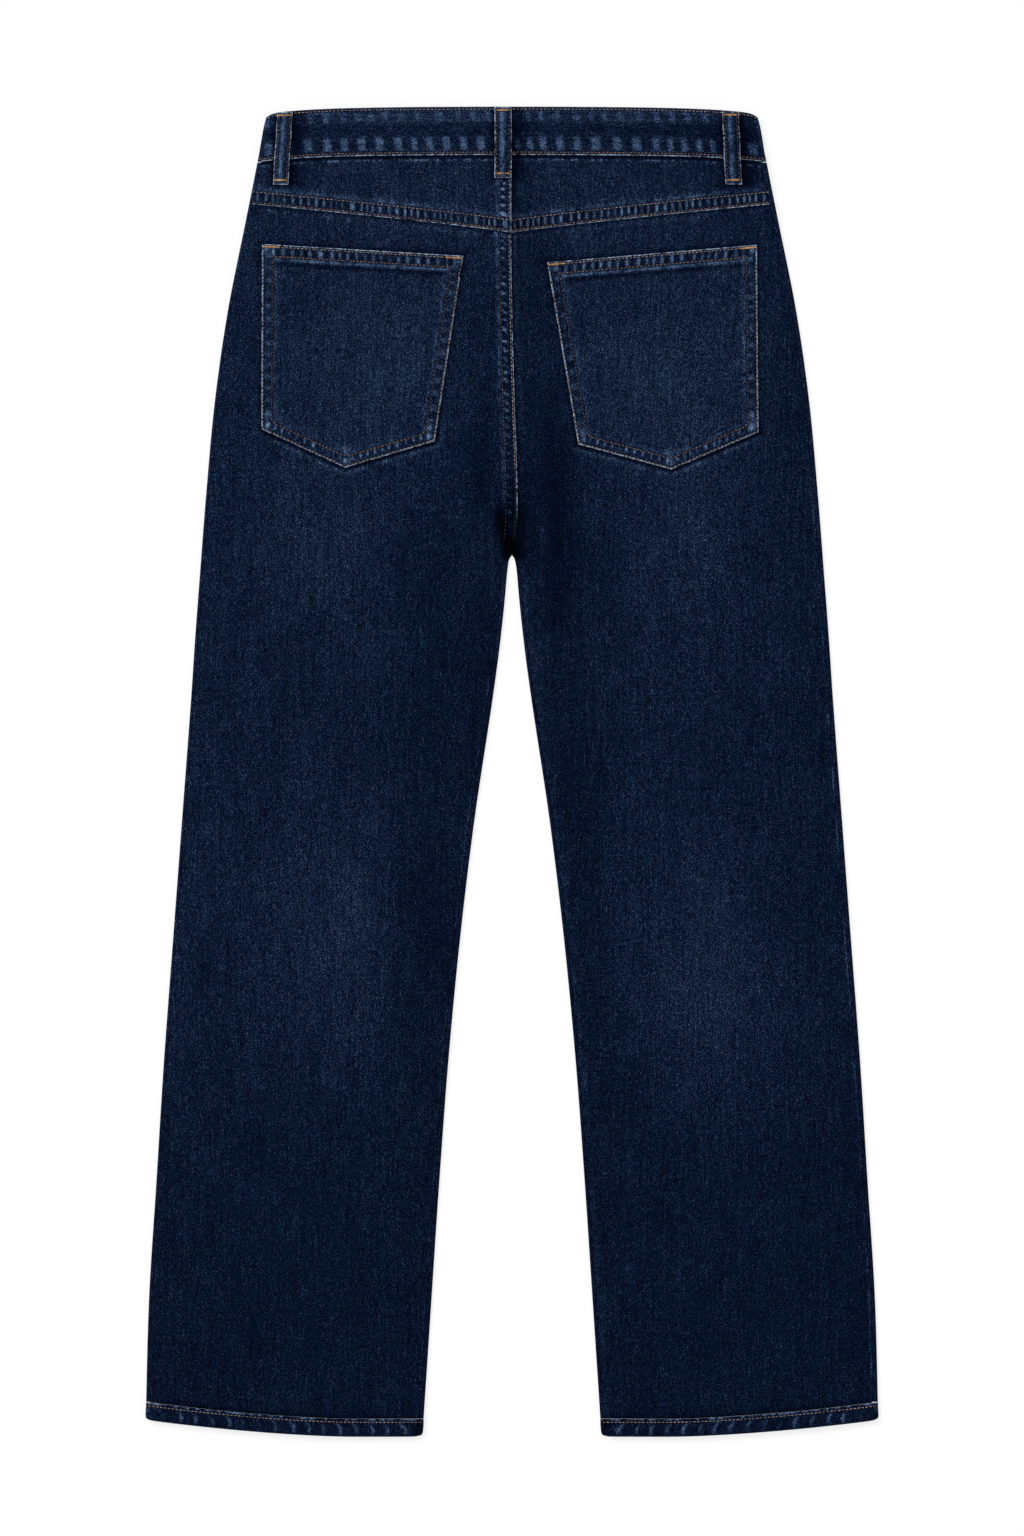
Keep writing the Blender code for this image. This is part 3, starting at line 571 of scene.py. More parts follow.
lowEdge = {**sideEdge, "pitch": 6.2, "blob": 1.05, "valley": 0.14, "crestFrom": 0.15, "blobIn": 2.4,
           "slant": 0.15, "edgeWear": 1.15, "ridge": 0.12, "rubbed": 0.04}
pocketEdges = [topEdge, sideEdge, lowEdge, {**lowEdge, "slant": -0.15}, sideEdge]
pocketRing = ["topIn", "topOut", "lowOut", "point", "lowIn"]
topPatches = [(6.0, 0.0, 3.6, 1.0), (15.0, 0.0, 4.0, 0.6)]  # inwards from a corner, up, size, share
lowPatches = [(6.0, 0.0, 3.6, 1.0), (6.0, 8.0, 3.2, 0.8)]
cornerPatches = {"lowIn": (0.52, lowPatches), "lowOut": (0.52, lowPatches), "point": (0.62, topPatches),
                 "topIn": (0.42, topPatches), "topOut": (0.42, topPatches)}


def pocketLine(side, k):  # where an edge starts, and its direction
    start, end = (array(pocketCuts[side][pocketRing[corner % 5]]) for corner in (k, k + 1))
    return start, (end - start) / np.linalg.norm(end - start)


def pocketEdge(side, k, away, down):  # distance inside the edge, and along it
    start, run = pocketLine(side, k)
    x, d = away - start[0], down - start[1]
    return d * run[0] - x * run[1], x * run[0] + d * run[1]


def besidePocket(side, away, down):  # how far outside the pocket a place lies
    return -np.min([pocketEdge(side, k, away, down)[0] for k in range(5)], axis=0)


def pocketLook(side, away, down):  # relief, fade and shade, and wear of a pocket
    edges = [pocketEdge(side, k, away, down) for k in range(5)]
    insets = [inset for inset, _ in edges]
    nearest = np.min(insets, axis=0)
    relief, fadeAndShade, wear = -0.45 * fading(nearest, 0.45), 0 * away, 0 * away
    for k, (inset, along) in enumerate(edges):
        mine = unit(1 - (inset - nearest) / 1.4)
        look = sewnBand(inset, along, pocketEdges[k], 71 + k * 10 + 3 * sides[side])
        relief, fadeAndShade, wear = (whole + mine * part for whole, part in zip((relief, fadeAndShade, wear), look))
    toTop, toSide, toLow = insets[0], minimum(insets[1], insets[4]), minimum(insets[2], insets[3])
    relief += pocket["hemProud"] * (1 - ease(pocket["hem"] + 0.6, pocket["hem"] + 2, toTop))
    # Painted shadow under the inner edge of the pocket's hem.
    hemPaintedShadow = bell(toTop, 15.2, 1.7) * ease(9, 12, toSide) * (0.7 + 0.4 * wander(edges[0][1], 22, 67))
    besideRow = bell(toSide, 12.4, 1.2) * (0.7 + 0.5 * wander(down, 9, 69)) * ease(14, 20, toTop)
    fadeAndShade = fadeAndShade - 0.66 * hemPaintedShadow + 0.08 * besideRow + 0.12 * speckled(toLow, 13, 4, away, 3.4, 68)
    return relief, fadeAndShade, wear


def backPocket(side):
    cut = {name: array(corner) for name, corner in pocketCuts[side].items()}
    steps = array([0, 0.35, 0.8, 1.3, 1.8, 2.4, 3.2, 4.2, 5.2, 6.2, 7.2, 8, 8.6, 9.4, 10.4, 11.4,
                   12.4, 13.4])
    width, height = cut["topOut"][0] - cut["topIn"][0], cut["lowIn"][1] - cut["topIn"][1]
    tip = (cut["point"][0] - cut["lowIn"][0]) / (cut["lowOut"][0] - cut["lowIn"][0])
    start, end = steps / width, 1 - steps[::-1] / width
    u = concatenate([start, linspace(start[-1], tip, 58)[1:], linspace(tip, end[0], 58)[1:], end[1:]])
    v = concatenate([steps / height, linspace(steps[-1] / height, end[0], 96)[1:-1],
                     1 - steps[::-1] / height])[:, None]
    low = [cut["lowIn"], cut["point"], cut["lowOut"]]
    away, down = (lerp(lerp(cut["topIn"][k], cut["topOut"][k], u),
                       np.interp(u, [0, tip, 1], [corner[k] for corner in low]), v) for k in range(2))
    across = sides[side] * away
    base = top(across, down) + garment["gap"]
    relief, pocketFadeAndShade, wear = pocketLook(side, away, down)
    belly = pocket["belly"] * sin(math.pi * unit(u)) * sin(math.pi * unit(v))
    fadeAndShade = fadeAndShadeAt(across, down) + pocket["fadeShift"] + pocketFadeAndShade
    centre = np.mean([cut[name] for name in pocketRing], axis=0)
    for name, (strength, patches) in cornerPatches.items():
        inwards = (centre - cut[name]) / np.linalg.norm(centre - cut[name])
        for reach, up, size, share in patches:
            x, d = cut[name] + reach * inwards - (0, up)
            patch = bell(away, x, size) * bell(down, d, size)
            fadeAndShade += strength * share * patch * (1 + 0.5 * wander2(away, down, 1.8, 2.6, 75))
    piece = clothPiece("patch_pocket_" + side, "pocketDenim", across, down,
                       base + pocket["wall"] + relief + belly, base, fadeAndShade, wear)
    layCloth(piece, "back_pocket_" + side)
    sewPocket(side)


def insideCorners(side, topInset, inset):  # the pocket's corners, moved in from its edges
    lines = []
    for k in range(5):
        start, run = pocketLine(side, k)
        lines.append((start + (inset if k else topInset) * array([-run[1], run[0]]), run))
    corners = []
    for k in range(5):
        (p, r), (q, t) = lines[k - 1], lines[k]
        corners.append(p + np.linalg.solve(array([r, -t]).T, q - p)[0] * r)
    return corners


def sewPocket(side):
    lift = garment["gap"] + pocket["wall"]

    def sewLine(points, threadName, extra=0.10):
        pairs = list(zip(points, points[1:]))
        counts = [max(2, int(np.linalg.norm(b - a) / pocket["stitchStep"])) for a, b in pairs]
        x, d = (concatenate([linspace(a[k], b[k], n) for (a, b), n in zip(pairs, counts)])
                for k in range(2))
        sewOver(threadName, sides[side] * x, d, lift + extra)

    outerRing = insideCorners(side, topEdge["rowIn"], sideEdge["rowIn"])
    innerRing = insideCorners(side, topEdge["rowOut"], sideEdge["rowOut"])
    sideRing = insideCorners(side, topEdge["rowIn"], sideEdge["rowOut"])
    sewLine(outerRing[:2], "tan", pocket["hemProud"] + 0.05)
    sewLine(outerRing[1:] + outerRing[:1], "tan")
    sewLine(innerRing[:2], "rust", pocket["hemProud"] + 0.05)
    turned = [sideRing[1]]
    for k in range(2, 5):  # the inner row turns its lower corners in a short curve
        here = sideRing[k]
        for other in (sideRing[k - 1], sideRing[(k + 1) % 5]):
            turned.append(here + pocket["cornerCut"] * (other - here) / np.linalg.norm(other - here))
    sewLine(turned[:2], "dim")
    sewLine(turned[1:], "rust")
    sewLine([turned[-1], sideRing[0]], "dim")
    for corner, other in (outerRing[:2], outerRing[1::-1]):
        end = corner + pocket["tack"] * (other - corner) / np.linalg.norm(other - corner)
        tackLift = lift + pocket["hemProud"] + 0.1
        sewTack(sides[side] * corner[0], corner[1], sides[side] * end[0], end[1], tackLift)


# Belt loops, three over the back of the band and two under its front

beltLoops = [  # name, across and down of the top and of the low end, width, lift of the low end
    ("back_left", -181.6, 4.6, -185.0, 62.4, 12.2, 0.0),
    ("back_centre", -7.2, 0.4, -7.2, 57.1, 13.6, 0.8),
    ("back_right", 174.5, 4.2, 177.3, 62.2, 13.2, 0.0),
    ("front_left", -104.0, 17.0, -106.0, 75.0, 13.0, 0.0),
    ("front_right", 104.0, 17.0, 106.0, 75.0, 13.0, 0.0),
]
loop = {"wall": 1.3, "row": 1.9, "edgeWear": 0.95, "stripe": 0.62, "gutter": 0.30, "tack": 9.4,
        "topTack": 2.4, "lowTack": 3.6, "pale": 0.3, "sway": 0.25}


def besideLoops(across, down, face="back"):  # distance for the painted shadow beside the loops, further reaching on their right, away from the key light
    nearest = np.full(np.broadcast(across, down).shape, garment["nowhereNear"])
    for name, x, d, xLow, dLow, width, _ in beltLoops:
        if name.startswith(face):
            off = across - lerp(x, xLow, (down - d) / (dLow - d))
            sideways = np.where(off > 0, (off - width / 2) * 0.35 - 1.4, (-off - width / 2) * 0.8 - 0.6)
            nearest = minimum(nearest, maximum(sideways, maximum(down - dLow, d - down)))
    return nearest


def beltLoop(name, topAcross, topDown, lowAcross, lowDown, width, lift):
    half, length, isUnder = width / 2, lowDown - topDown, name.startswith("front")
    seed = 90 + int(abs(topAcross)) % 7
    share = array([0, 0.15, 0.3, 0.45, 0.6, 0.7, 0.8, 0.88, 0.95, 1])
    offs = np.append(-share[:0:-1], share) * half
    steps = concatenate([[0, 0.4, 0.9], linspace(1.6, length - 1.6, 66), length - array([0.9, 0.4, 0])])
    run = (steps / length)[:, None]
    middle = lerp(topAcross, lowAcross, run)
    down = lerp(topDown, lowDown, run) + 0 * offs
    across = middle + offs + loop["sway"] * wander(down, 8, seed)

    def lieOn(x, d):  # the face that the loop lies on
        edge = bandLow(x, True)
        return top(x, d) + lerp(band["proud"], lift, ease(edge + 1, edge + 10, d)) + garment["gap"]

    fromEdge, fromEnd = half - abs(offs) + 0 * down, minimum(steps, length - steps)[:, None] + 0 * offs
    relief = -0.5 * exp(-fromEdge / 0.5) - 0.45 * exp(-fromEnd / 0.6)
    relief -= 0.16 * bell(fromEdge, loop["row"], 0.6)
    stripe = 0.80 + 0.30 * wander(down, 5, seed + 1) + 0.20 * wander(down, 2, seed + 5)
    stripe = bell(offs, -0.9, 2.3) * stripe * ease(1, 4, length - steps)[:, None]
    # The gutters along the stitch rows are darkened as painted shade.
    fadeAndShade = fadeAndShadeAt(across, down) + loop["stripe"] * stripe - loop["gutter"] * bell(fromEdge, 2.2, 1.2)
    fadeAndShade += loop["pale"] * (fromEnd < 2.6) * (steps > length / 2)[:, None]
    wear = maximum(brokenEdge(fromEdge, down, loop["edgeWear"], seed + 2),
                   brokenEdge(fromEnd, across, loop["edgeWear"], seed + 3))
    inside = loop["wall"] + 0 * across if isUnder else lieOn(across, down)
    outside = inside + loop["wall"] + relief + 0.14 * ripple(down, 9, seed + 4)
    outside = -relief * 0.8 if isUnder else outside
    piece = clothPiece("loop_" + name, "loopDenim", across, down, outside, inside, fadeAndShade, wear)
    layCloth(piece, "belt_loop_" + name)
    d = steps[3:-4] + topDown
    for sign in (-1, 1):
        x = middle[3:-4, 0] + sign * (half - loop["row"])
        sew("dim", x, d, 0 * d + 0.14 if isUnder else lieOn(x, d) + loop["wall"] + 0.04)
    for place in () if isUnder else (loop["topTack"], length - loop["lowTack"]):
        x, d = lerp(topAcross, lowAcross, place / length), topDown + place
        lying = float(lieOn(x, d) - top(x, d))
        sewTack(x - loop["tack"] / 2, d, x + loop["tack"] / 2, d, lying + loop["wall"] + 0.1)


# Back panels: seat and leg in one, the left felled over the right at the seat seam

seat = {
    "fell": 9.6, "proud": 0.7, "rowIn": 1.6, "rowOut": 9.2, "pitch": 7.0, "pucker": 0.26,
    "blob": 1.60, "valley": 0.14, "crestFrom": 0.0, "blobIn": 2.2, "slant": 0.5, "edgeWear": 0.90,
    "ridge": 0.50, "ridgeAt": 1.8, "rubbed": 0.0,
}
panel = {"outseamLine": 0.60, "inseamLine": 0.34, "faintLine": 0.10, "sidePucker": 0.14,
         "yokeSpeckle": 0.28, "pocketSpeckle": 0.55, "pocketPaintedShadow": 0.45, "seatPale": 0.20,
         "low": 1049.1}


def backInner(side, down):
    seam = garment["gap"] / 2 + sides[side] * read(seatSeam, "across", down)
    leg = inner(down) + edgeRound(down) + inseamWrap(side) + garment["gap"]
    return lerp(seam, leg, ease(garment["fork"] - 2, garment["fork"] + 5, down))


def backOuter(side, down):
    return outer(down) - edgeRound(down) - outseamWrap(side) - garment["gap"]


def seatLook(side, inset, down):  # relief, fade and shade, and wear of the felled seat seam
    if side == "right":
        return 0 * inset, 0 * inset, 0 * inset
    fades = 1 - ease(garment["fork"] - 24, garment["fork"] - 2, down)
    rubbed = 1 - ease(garment["fork"] - 60, garment["fork"] - 22, down)
    relief, fadeAndShade, wear = sewnBand(inset, down, seat, 21)
    relief = (relief + raisedSeam(inset, seat["fell"], seat["proud"])) * fades
    return relief, fadeAndShade * fades * (1 - 0.5 * ease(190, 280, down)), wear * rubbed


def sewSeat(start, end, edgeThread="tan", farThread="dim"):
    down = np.arange(start, end, 1.2)
    for place, threadName in ((seat["rowIn"], edgeThread), (seat["rowOut"], farThread)):
        sewOver(threadName, -backInner("left", down) - place, down, seat["proud"] - 0.02)


seamSteps = array([0, 0.35, 0.8, 1.6, 2.4, 3.3, 4.2, 5.1, 6, 6.9, 7.8, 8.6, 9.2, 9.8, 10.6, 11.4])


def backPanel(side):
    first, last = garment["yokeCentre"] + garment["gap"], panel["low"]
    rows = concatenate([np.arange(first, 300, 1.9), np.arange(300, 376, 1.5),
                        np.arange(376, last - 3, 4.6), [last]])
    run = (rows - first) / (last - first)
    sideLow = hemHigh(outer(garment["length"])) - garment["gap"]
    sideRows = lerp(yokeLow(outer(garment["yokeSide"])) + garment["gap"], sideLow, run)
    start, end = backInner(side, rows)[:, None], backOuter(side, sideRows)[:, None]
    shares = np.append(1 - (1 - linspace(0, 0.985, 88)[1:]) ** 1.05, [0.991, 0.996, 1])
    away = concatenate([start + seamSteps, lerp(start + seamSteps[-1], end, shares)], axis=1)
    across = sides[side] * away
    down = lerp(yokeLow(away) + garment["gap"], hemHigh(away) - garment["gap"], run[:, None])
    inset, belowYoke, toEdge, toHem = away - start, down - yokeLow(away), end - away, hemHigh(away) - down
    relief, seamFadeAndShade, wear = seatLook(side, inset, down)
    relief += 0.16 * exp(-belowYoke / 8) * ripple(away, 8, 31)
    relief += panel["sidePucker"] * exp(-toEdge / 6) * ripple(down, 24, 33 + sides[side])
    outside = besidePocket(side, away, down)
    speckle = panel["pocketSpeckle"] * speckled(outside, 4.3, 1.6, away, 3.1, 37)
    edgeLine = panel["outseamLine" if side == "right" else "faintLine"] * ease(250, 330, down)
    inseamLine = panel["inseamLine" if side == "left" else "faintLine"]
    inseamLine = inseamLine * ease(garment["fork"] + 10, garment["fork"] + 60, down)
    fadeAndShade = fadeAndShadeAt(across, down) + seamFadeAndShade
    fadeAndShade += panel["yokeSpeckle"] * speckled(belowYoke, 4.3, 2.2, away, 2.9, 36)
    # Pale speckles outside the pocket, and a painted shadow just outside its edges.
    fadeAndShade += (speckle - panel["pocketPaintedShadow"] * bell(outside, 1.2, 1.0)) * ease(250, 262, down)
    fadeAndShade += edgeLine * bell(toEdge, 0, 1.2) * marks(down, 14, 34)
    fadeAndShade += inseamLine * bell(inset, 0, 1.2) * marks(down, 14, 35)
    # beside sets where the denim paints a contact shadow: outside the pockets, under the yoke, above the
    # hem and, on the right leg, beside the seat fell.
    beside = maximum(outside, 0) * lerp(1, 1.6, ease(126, 134, down))
    beside = minimum(minimum(belowYoke * 1.5, toHem), beside)
    if side == "right":
        fadeAndShade += panel["seatPale"] * bell(inset, 2.8, 2.6) * marks(down, 3, 38)
        onSeat = down < garment["fork"] - 10
        beside = minimum(beside, np.where(onSeat, inset * 1.5, garment["nowhereNear"]))
    base = top(across, down)
    piece = clothPiece("back_leg_" + side, "legDenim", across, down, base + relief,
                       base - garment["denim"], fadeAndShade, wear, beside)
    layCloth(piece, "back_panel_" + side)
    if side == "left":
        # Towards the fork the seat rows take darker thread, as painted shade in the crotch hollow.
        sewSeat(104, 290)
        sewSeat(291, 309, "dim", "dim")
        sewSeat(310, garment["fork"] - 14, "shadedRust", "shadedRust")


# Yokes, felled over the panels along their lower edge

yoke = {"fell": 10.6, "proud": 0.7, "rowIn": 1.6, "rowOut": 9.8, "pitch": 5.8, "pucker": 0.25,
        "blob": 1.15, "valley": 0.20, "crestFrom": 0.15, "blobIn": 0.6, "slant": 0.05, "edgeWear": 0.95,
        "ridge": 0.34, "ridgeAt": 2.6, "rubbed": 0.08, "bandSpeckle": 0.75, "bandPaintedShadow": 0.40,
        "fellSpeckle": 0.22, "crossing": 0.50}


def backYoke(side):
    ups = array([13.6, 12.6, 11.8, 11.3, 10.8, 10.2, 9.2, 8.2, 7.2, 6.2, 5.2, 4.2, 3.3, 2.5, 1.9, 1.3,
                 0.8, 0.35, 0])
    shares = concatenate([linspace(0, 0.16, 7), linspace(0.16, 1, 19)[1:]])
    bare = 14.2  # the felled edge's rows start this far up
    sideLow, sideHigh = garment["yokeSide"], band["height"] + garment["sideDrop"] + garment["gap"]
    sideRows = concatenate([lerp(sideHigh, sideLow - bare, shares), sideLow - ups])[:, None]
    start, end = backInner(side, np.full_like(sideRows, 70.0)), backOuter(side, sideRows)
    onwards = lerp(start + seamSteps[-1], end, linspace(0, 1, 190)[1:])
    away = concatenate([start + seamSteps, onwards], axis=1)
    across = sides[side] * away
    low, high = yokeLow(away), bandLow(away, True)
    count = len(shares)
    down = concatenate([lerp(high[:count] + garment["gap"], low[:count] - bare, shares[:, None]),
                        low[count:] - ups[:, None]])
    up, underBand = low - down, down - high
    seamRelief, seamFadeAndShade, seamWear = seatLook(side, away - start, down)
    fellRelief, fellFadeAndShade, fellWear = sewnBand(up, across, yoke, 41)
    onFell = 1 - ease(yoke["fell"], yoke["fell"] + 1, up)
    fellRelief += raisedSeam(up, yoke["fell"], yoke["proud"])
    relief = lerp(seamRelief, maximum(seamRelief, fellRelief), onFell)
    relief += 0.14 * exp(-underBand / 6) * ripple(across, 13.6, 51)
    fadeAndShade = fadeAndShadeAt(across, down) + fellFadeAndShade + lerp(seamFadeAndShade, 0, onFell)
    fadeAndShade += yoke["bandSpeckle"] * speckled(underBand, 3.9, 1.0, across, 2.4, 52)
    # Painted shadow along the waistband's lower edge.
    fadeAndShade = fadeAndShade - yoke["bandPaintedShadow"] * bell(underBand, 1.6, 0.9)
    fadeAndShade += yoke["fellSpeckle"] * speckled(up, 14.4, 2.2, across, 2.6, 53)
    crossing = bell(across, -4.5, 2.8) * bell(up, 4.6, 4.2)
    fadeAndShade += yoke["crossing"] * crossing * (0.8 + 0.5 * wander(across + down, 1.6, 54))
    # beside sets the painted contact shadow under the waistband and beside the loops, and on the right
    # yoke beside the seat fell.
    beside = minimum(underBand, besideLoops(across, down))
    if side == "right":
        beside = minimum(beside, (away - start) * 0.6)
    base = top(across, down)
    wear = seamWear * (1 - 0.5 * onFell) + fellWear
    piece = clothPiece("yoke_" + side, "yokeDenim", across, down, base + relief,
                       base - garment["denim"], fadeAndShade, wear, beside)
    layCloth(piece, "back_yoke_" + side)
    line = np.arange(float(start[0, 0]) + 0.6, float(end[-1, 0]) - 0.4, 1.3)
    for place, threadName in ((yoke["rowIn"], "rust"), (yoke["rowOut"], "tan")):
        sewOver(threadName, sides[side] * line, yokeLow(line) - place, yoke["proud"] - 0.02)
    if side == "left":
        sewSeat(band["height"] + 1.5, garment["yokeCentre"] - 12)


# Waistband: one folded strip all round, lapped at the centre front

band = {
    "height": 38.6, "wall": 1.8, "proud": 0.7, "rowTop": 2.0, "rowLow": 2.1,
    "pitch": 13.6, "lowPucker": 0.34, "topPucker": 0.16, "edgeWear": 1.15, "topWear": 0.16,
    "lowBlob": 0.46, "topBlob": 0.32, "valley": 0.16, "middleDark": 0.20, "cornerDrop": 3.0,
    "tabEnd": 20.0, "underlapEnd": -16.0, "lapStart": 36.0, "lapFull": 25.0, "fadeShift": 0.06,
    "frontFade": 0.42, "edgeFade": 0.40,
}


def bandLook(row, along):
    fromLow = band["height"] - row
    lowWave = ripple(along + 0.12 * fromLow + 2.4 * wander(along, 37, 67), band["pitch"], 61)
    topWave = ripple(along - 0.2 * row + 2.4 * wander(along, 41, 68), band["pitch"] * 0.93, 63)
    lowBand = ease(2.8, 5.4, fromLow) * (1 - ease(12.0, 16.5, fromLow))
    topBand = ease(2.8, 4.6, row) * (1 - ease(9.5, 13.5, row))
    lowCrest, topCrest = ease(-0.25, 0.55, lowWave), ease(-0.1, 0.6, topWave)
    rows = bell(row, band["rowTop"], 0.6) + bell(fromLow, band["rowLow"], 0.7)
    relief = band["lowPucker"] * lowWave * lowBand + band["topPucker"] * topWave * topBand
    relief = relief - 0.55 * exp(-row / 0.7) - 0.25 * exp(-fromLow / 0.5) - 0.18 * rows
    # The pucker crests are rubbed pale, and the troughs and the stitch grooves are darkened as painted
    # shade.
    fadeAndShade = band["lowBlob"] * lowCrest * lowBand + band["topBlob"] * topCrest * topBand - 0.26 * rows
    fadeAndShade = fadeAndShade - band["valley"] * (1 - lowCrest) * lowBand - band["middleDark"] * between(row, 11, 25)
    fadeAndShade += 0.05 * wander2(along, row, 7, 4, 66)
    wear = brokenEdge(fromLow, along, band["edgeWear"], 64) + brokenEdge(row, along, band["topWear"], 65)
    return relief, fadeAndShade, unit(wear)


def cornerDrop(across, row, edge):  # rounds the band's top corners
    return band["cornerDrop"] * fading(edge - abs(across), 4) * (1 - ease(0, 12, row))


def waistband():
    radius = (garment["waistTop"] + band["proud"] - garment["waistRise"]) / 2
    middle = garment["waistRise"] + radius
    rows = array([0, 0.4, 0.9, 1.6, 2.3, 3.2, 4.4, 6, 7.6, 9.2, 10.8, 12.6, 14.4, 16.4, 18.6, 20.8, 22.6,
                  24.4, 26, 27.6, 29.2, 30.8, 32.4, 33.8, 34.8, 35.5, 36.2, 36.9, 37.5, 38.1,
                  band["height"]])[:, None]
    edge = outer(rows + garment["sideDrop"])
    straight = edge - radius
    turn = radians(linspace(-90, 90, 13))

    def flatPart(across, back, lap=0.0):
        down = rows + bandDrop(across, edge, back)
        relief, fadeAndShade, wear = bandLook(rows, across + (0 if back else 900))
        if back:
            level = top(across, down) + band["proud"]
            fadeAndShade += fadeAndShadeAt(across, down) + band["fadeShift"]
            return (across, across, down, level + relief, level - band["wall"], fadeAndShade, wear,
                    besideLoops(across, down))
        level = under(across, down) + lap
        return (across, across, down, level - minimum(relief, 0), level + band["wall"],
                fadeAndShade + band["frontFade"], wear, besideLoops(across, down, "front"))

    def turnedPart(sign, angles):
        relief, fadeAndShade, wear = bandLook(rows, sign * (straight + 3 * sin(angles)))
        out, tight = radius + minimum(relief, 0), radius - band["wall"]
        return (sign * (straight + out * cos(angles)), sign * (straight + tight * cos(angles)),
                rows + garment["sideDrop"], middle + out * sin(angles), middle + tight * sin(angles),
                fadeAndShade + band["edgeFade"], wear, garment["nowhereNear"])

    lapShare = concatenate([linspace(0, 0.72, 56)[1:], linspace(0.73, 1, 40)])
    acrossLap = lerp(straight, band["underlapEnd"], lapShare)
    lapUp = (1 - ease(band["lapFull"], band["lapStart"], acrossLap)) * (band["wall"] + 0.4)
    parts = [
        flatPart(lerp(band["tabEnd"], -straight, linspace(0, 1, 110)[:-1]), False),
        turnedPart(-1, turn),
        flatPart(straight * linspace(-1, 1, 330)[1:-1], True),
        turnedPart(1, turn[::-1]),
        flatPart(acrossLap, False, lapUp),
    ]
    across, acrossIn, down, outside, inside, fadeAndShade, wear, beside = joinParts(parts, 3)
    down += cornerDrop(across, rows, edge)
    piece = clothPiece("waistband_strip", "bandDenim", across, down, outside, inside, fadeAndShade, wear, beside,
                       acrossIn)
    layCloth(piece, "waistband")
    for place in (band["rowTop"], band["height"] - band["rowLow"]):
        edgeHere = float(outer(place + garment["sideDrop"]))
        reach = edgeHere - radius

        def bandRow(start, end, count, back):
            x = linspace(start, end, count)
            return x, place + bandDrop(x, edgeHere, back) + cornerDrop(x, place, edgeHere)

        threadName = "tan" if place == band["rowTop"] else "rust"
        sewOver(threadName, *bandRow(-reach, reach, 300, True), band["proud"] - 0.02)
        sewUnder("rust", *bandRow(band["tabEnd"] - 2, -reach, 150, False))
        sewUnder("rust", *bandRow(reach, band["tabEnd"] + 22, 150, False))


# Hems: the turned-up end of each leg, roped by its single row of stitches

hem = {"height": 14.2, "wall": 1.9, "proud": 0.4, "row": 2.6, "pitch": 12.9, "rope": 0.30,
       "blob": 0.74, "valley": 0.04, "edgeWear": 0.10, "foldFade": 1.35, "cornerDrop": 2.2,
       "fadeShift": 0.02}


def hemLook(row, along):  # row is the distance below the hem's upper edge
    low = hem["height"] - row
    bow = 3.0 * bell(row, 0.6 * hem["height"], 5.0)
    wave = cos(2 * math.pi * ((along + 0.25 * row + bow) / hem["pitch"] + 0.16 * wander(along, 19, 101)))
    crest = unit((wave - 0.5) / 0.5) * (0.7 + 0.5 * wander(along, 8, 102))
    middle = between(row, hem["row"] + 0.3, hem["height"] - 0.4)
    line = bell(row, hem["row"], 0.6)
    relief = hem["rope"] * wave * between(row, 1.6, hem["height"] + 0.5) - 0.2 * line
    relief = relief - 0.5 * exp(-low / 0.6) - 0.2 * exp(-row / 0.5)
    # The rope crests are rubbed pale, and the troughs and the stitch groove are darkened as painted shade.
    fadeAndShade = (hem["blob"] * crest - hem["valley"] * (1 - crest)) * middle - 0.16 * line
    fadeAndShade = fadeAndShade - 0.14 * exp(-low / 1.2)
    fadeAndShade += hem["foldFade"] * bell(row, 0.4, 0.8) * unit(0.5 + 0.7 * wander(along, 2.4, 103))
    return relief, fadeAndShade, unit(brokenEdge(low, along, hem["edgeWear"], 104))


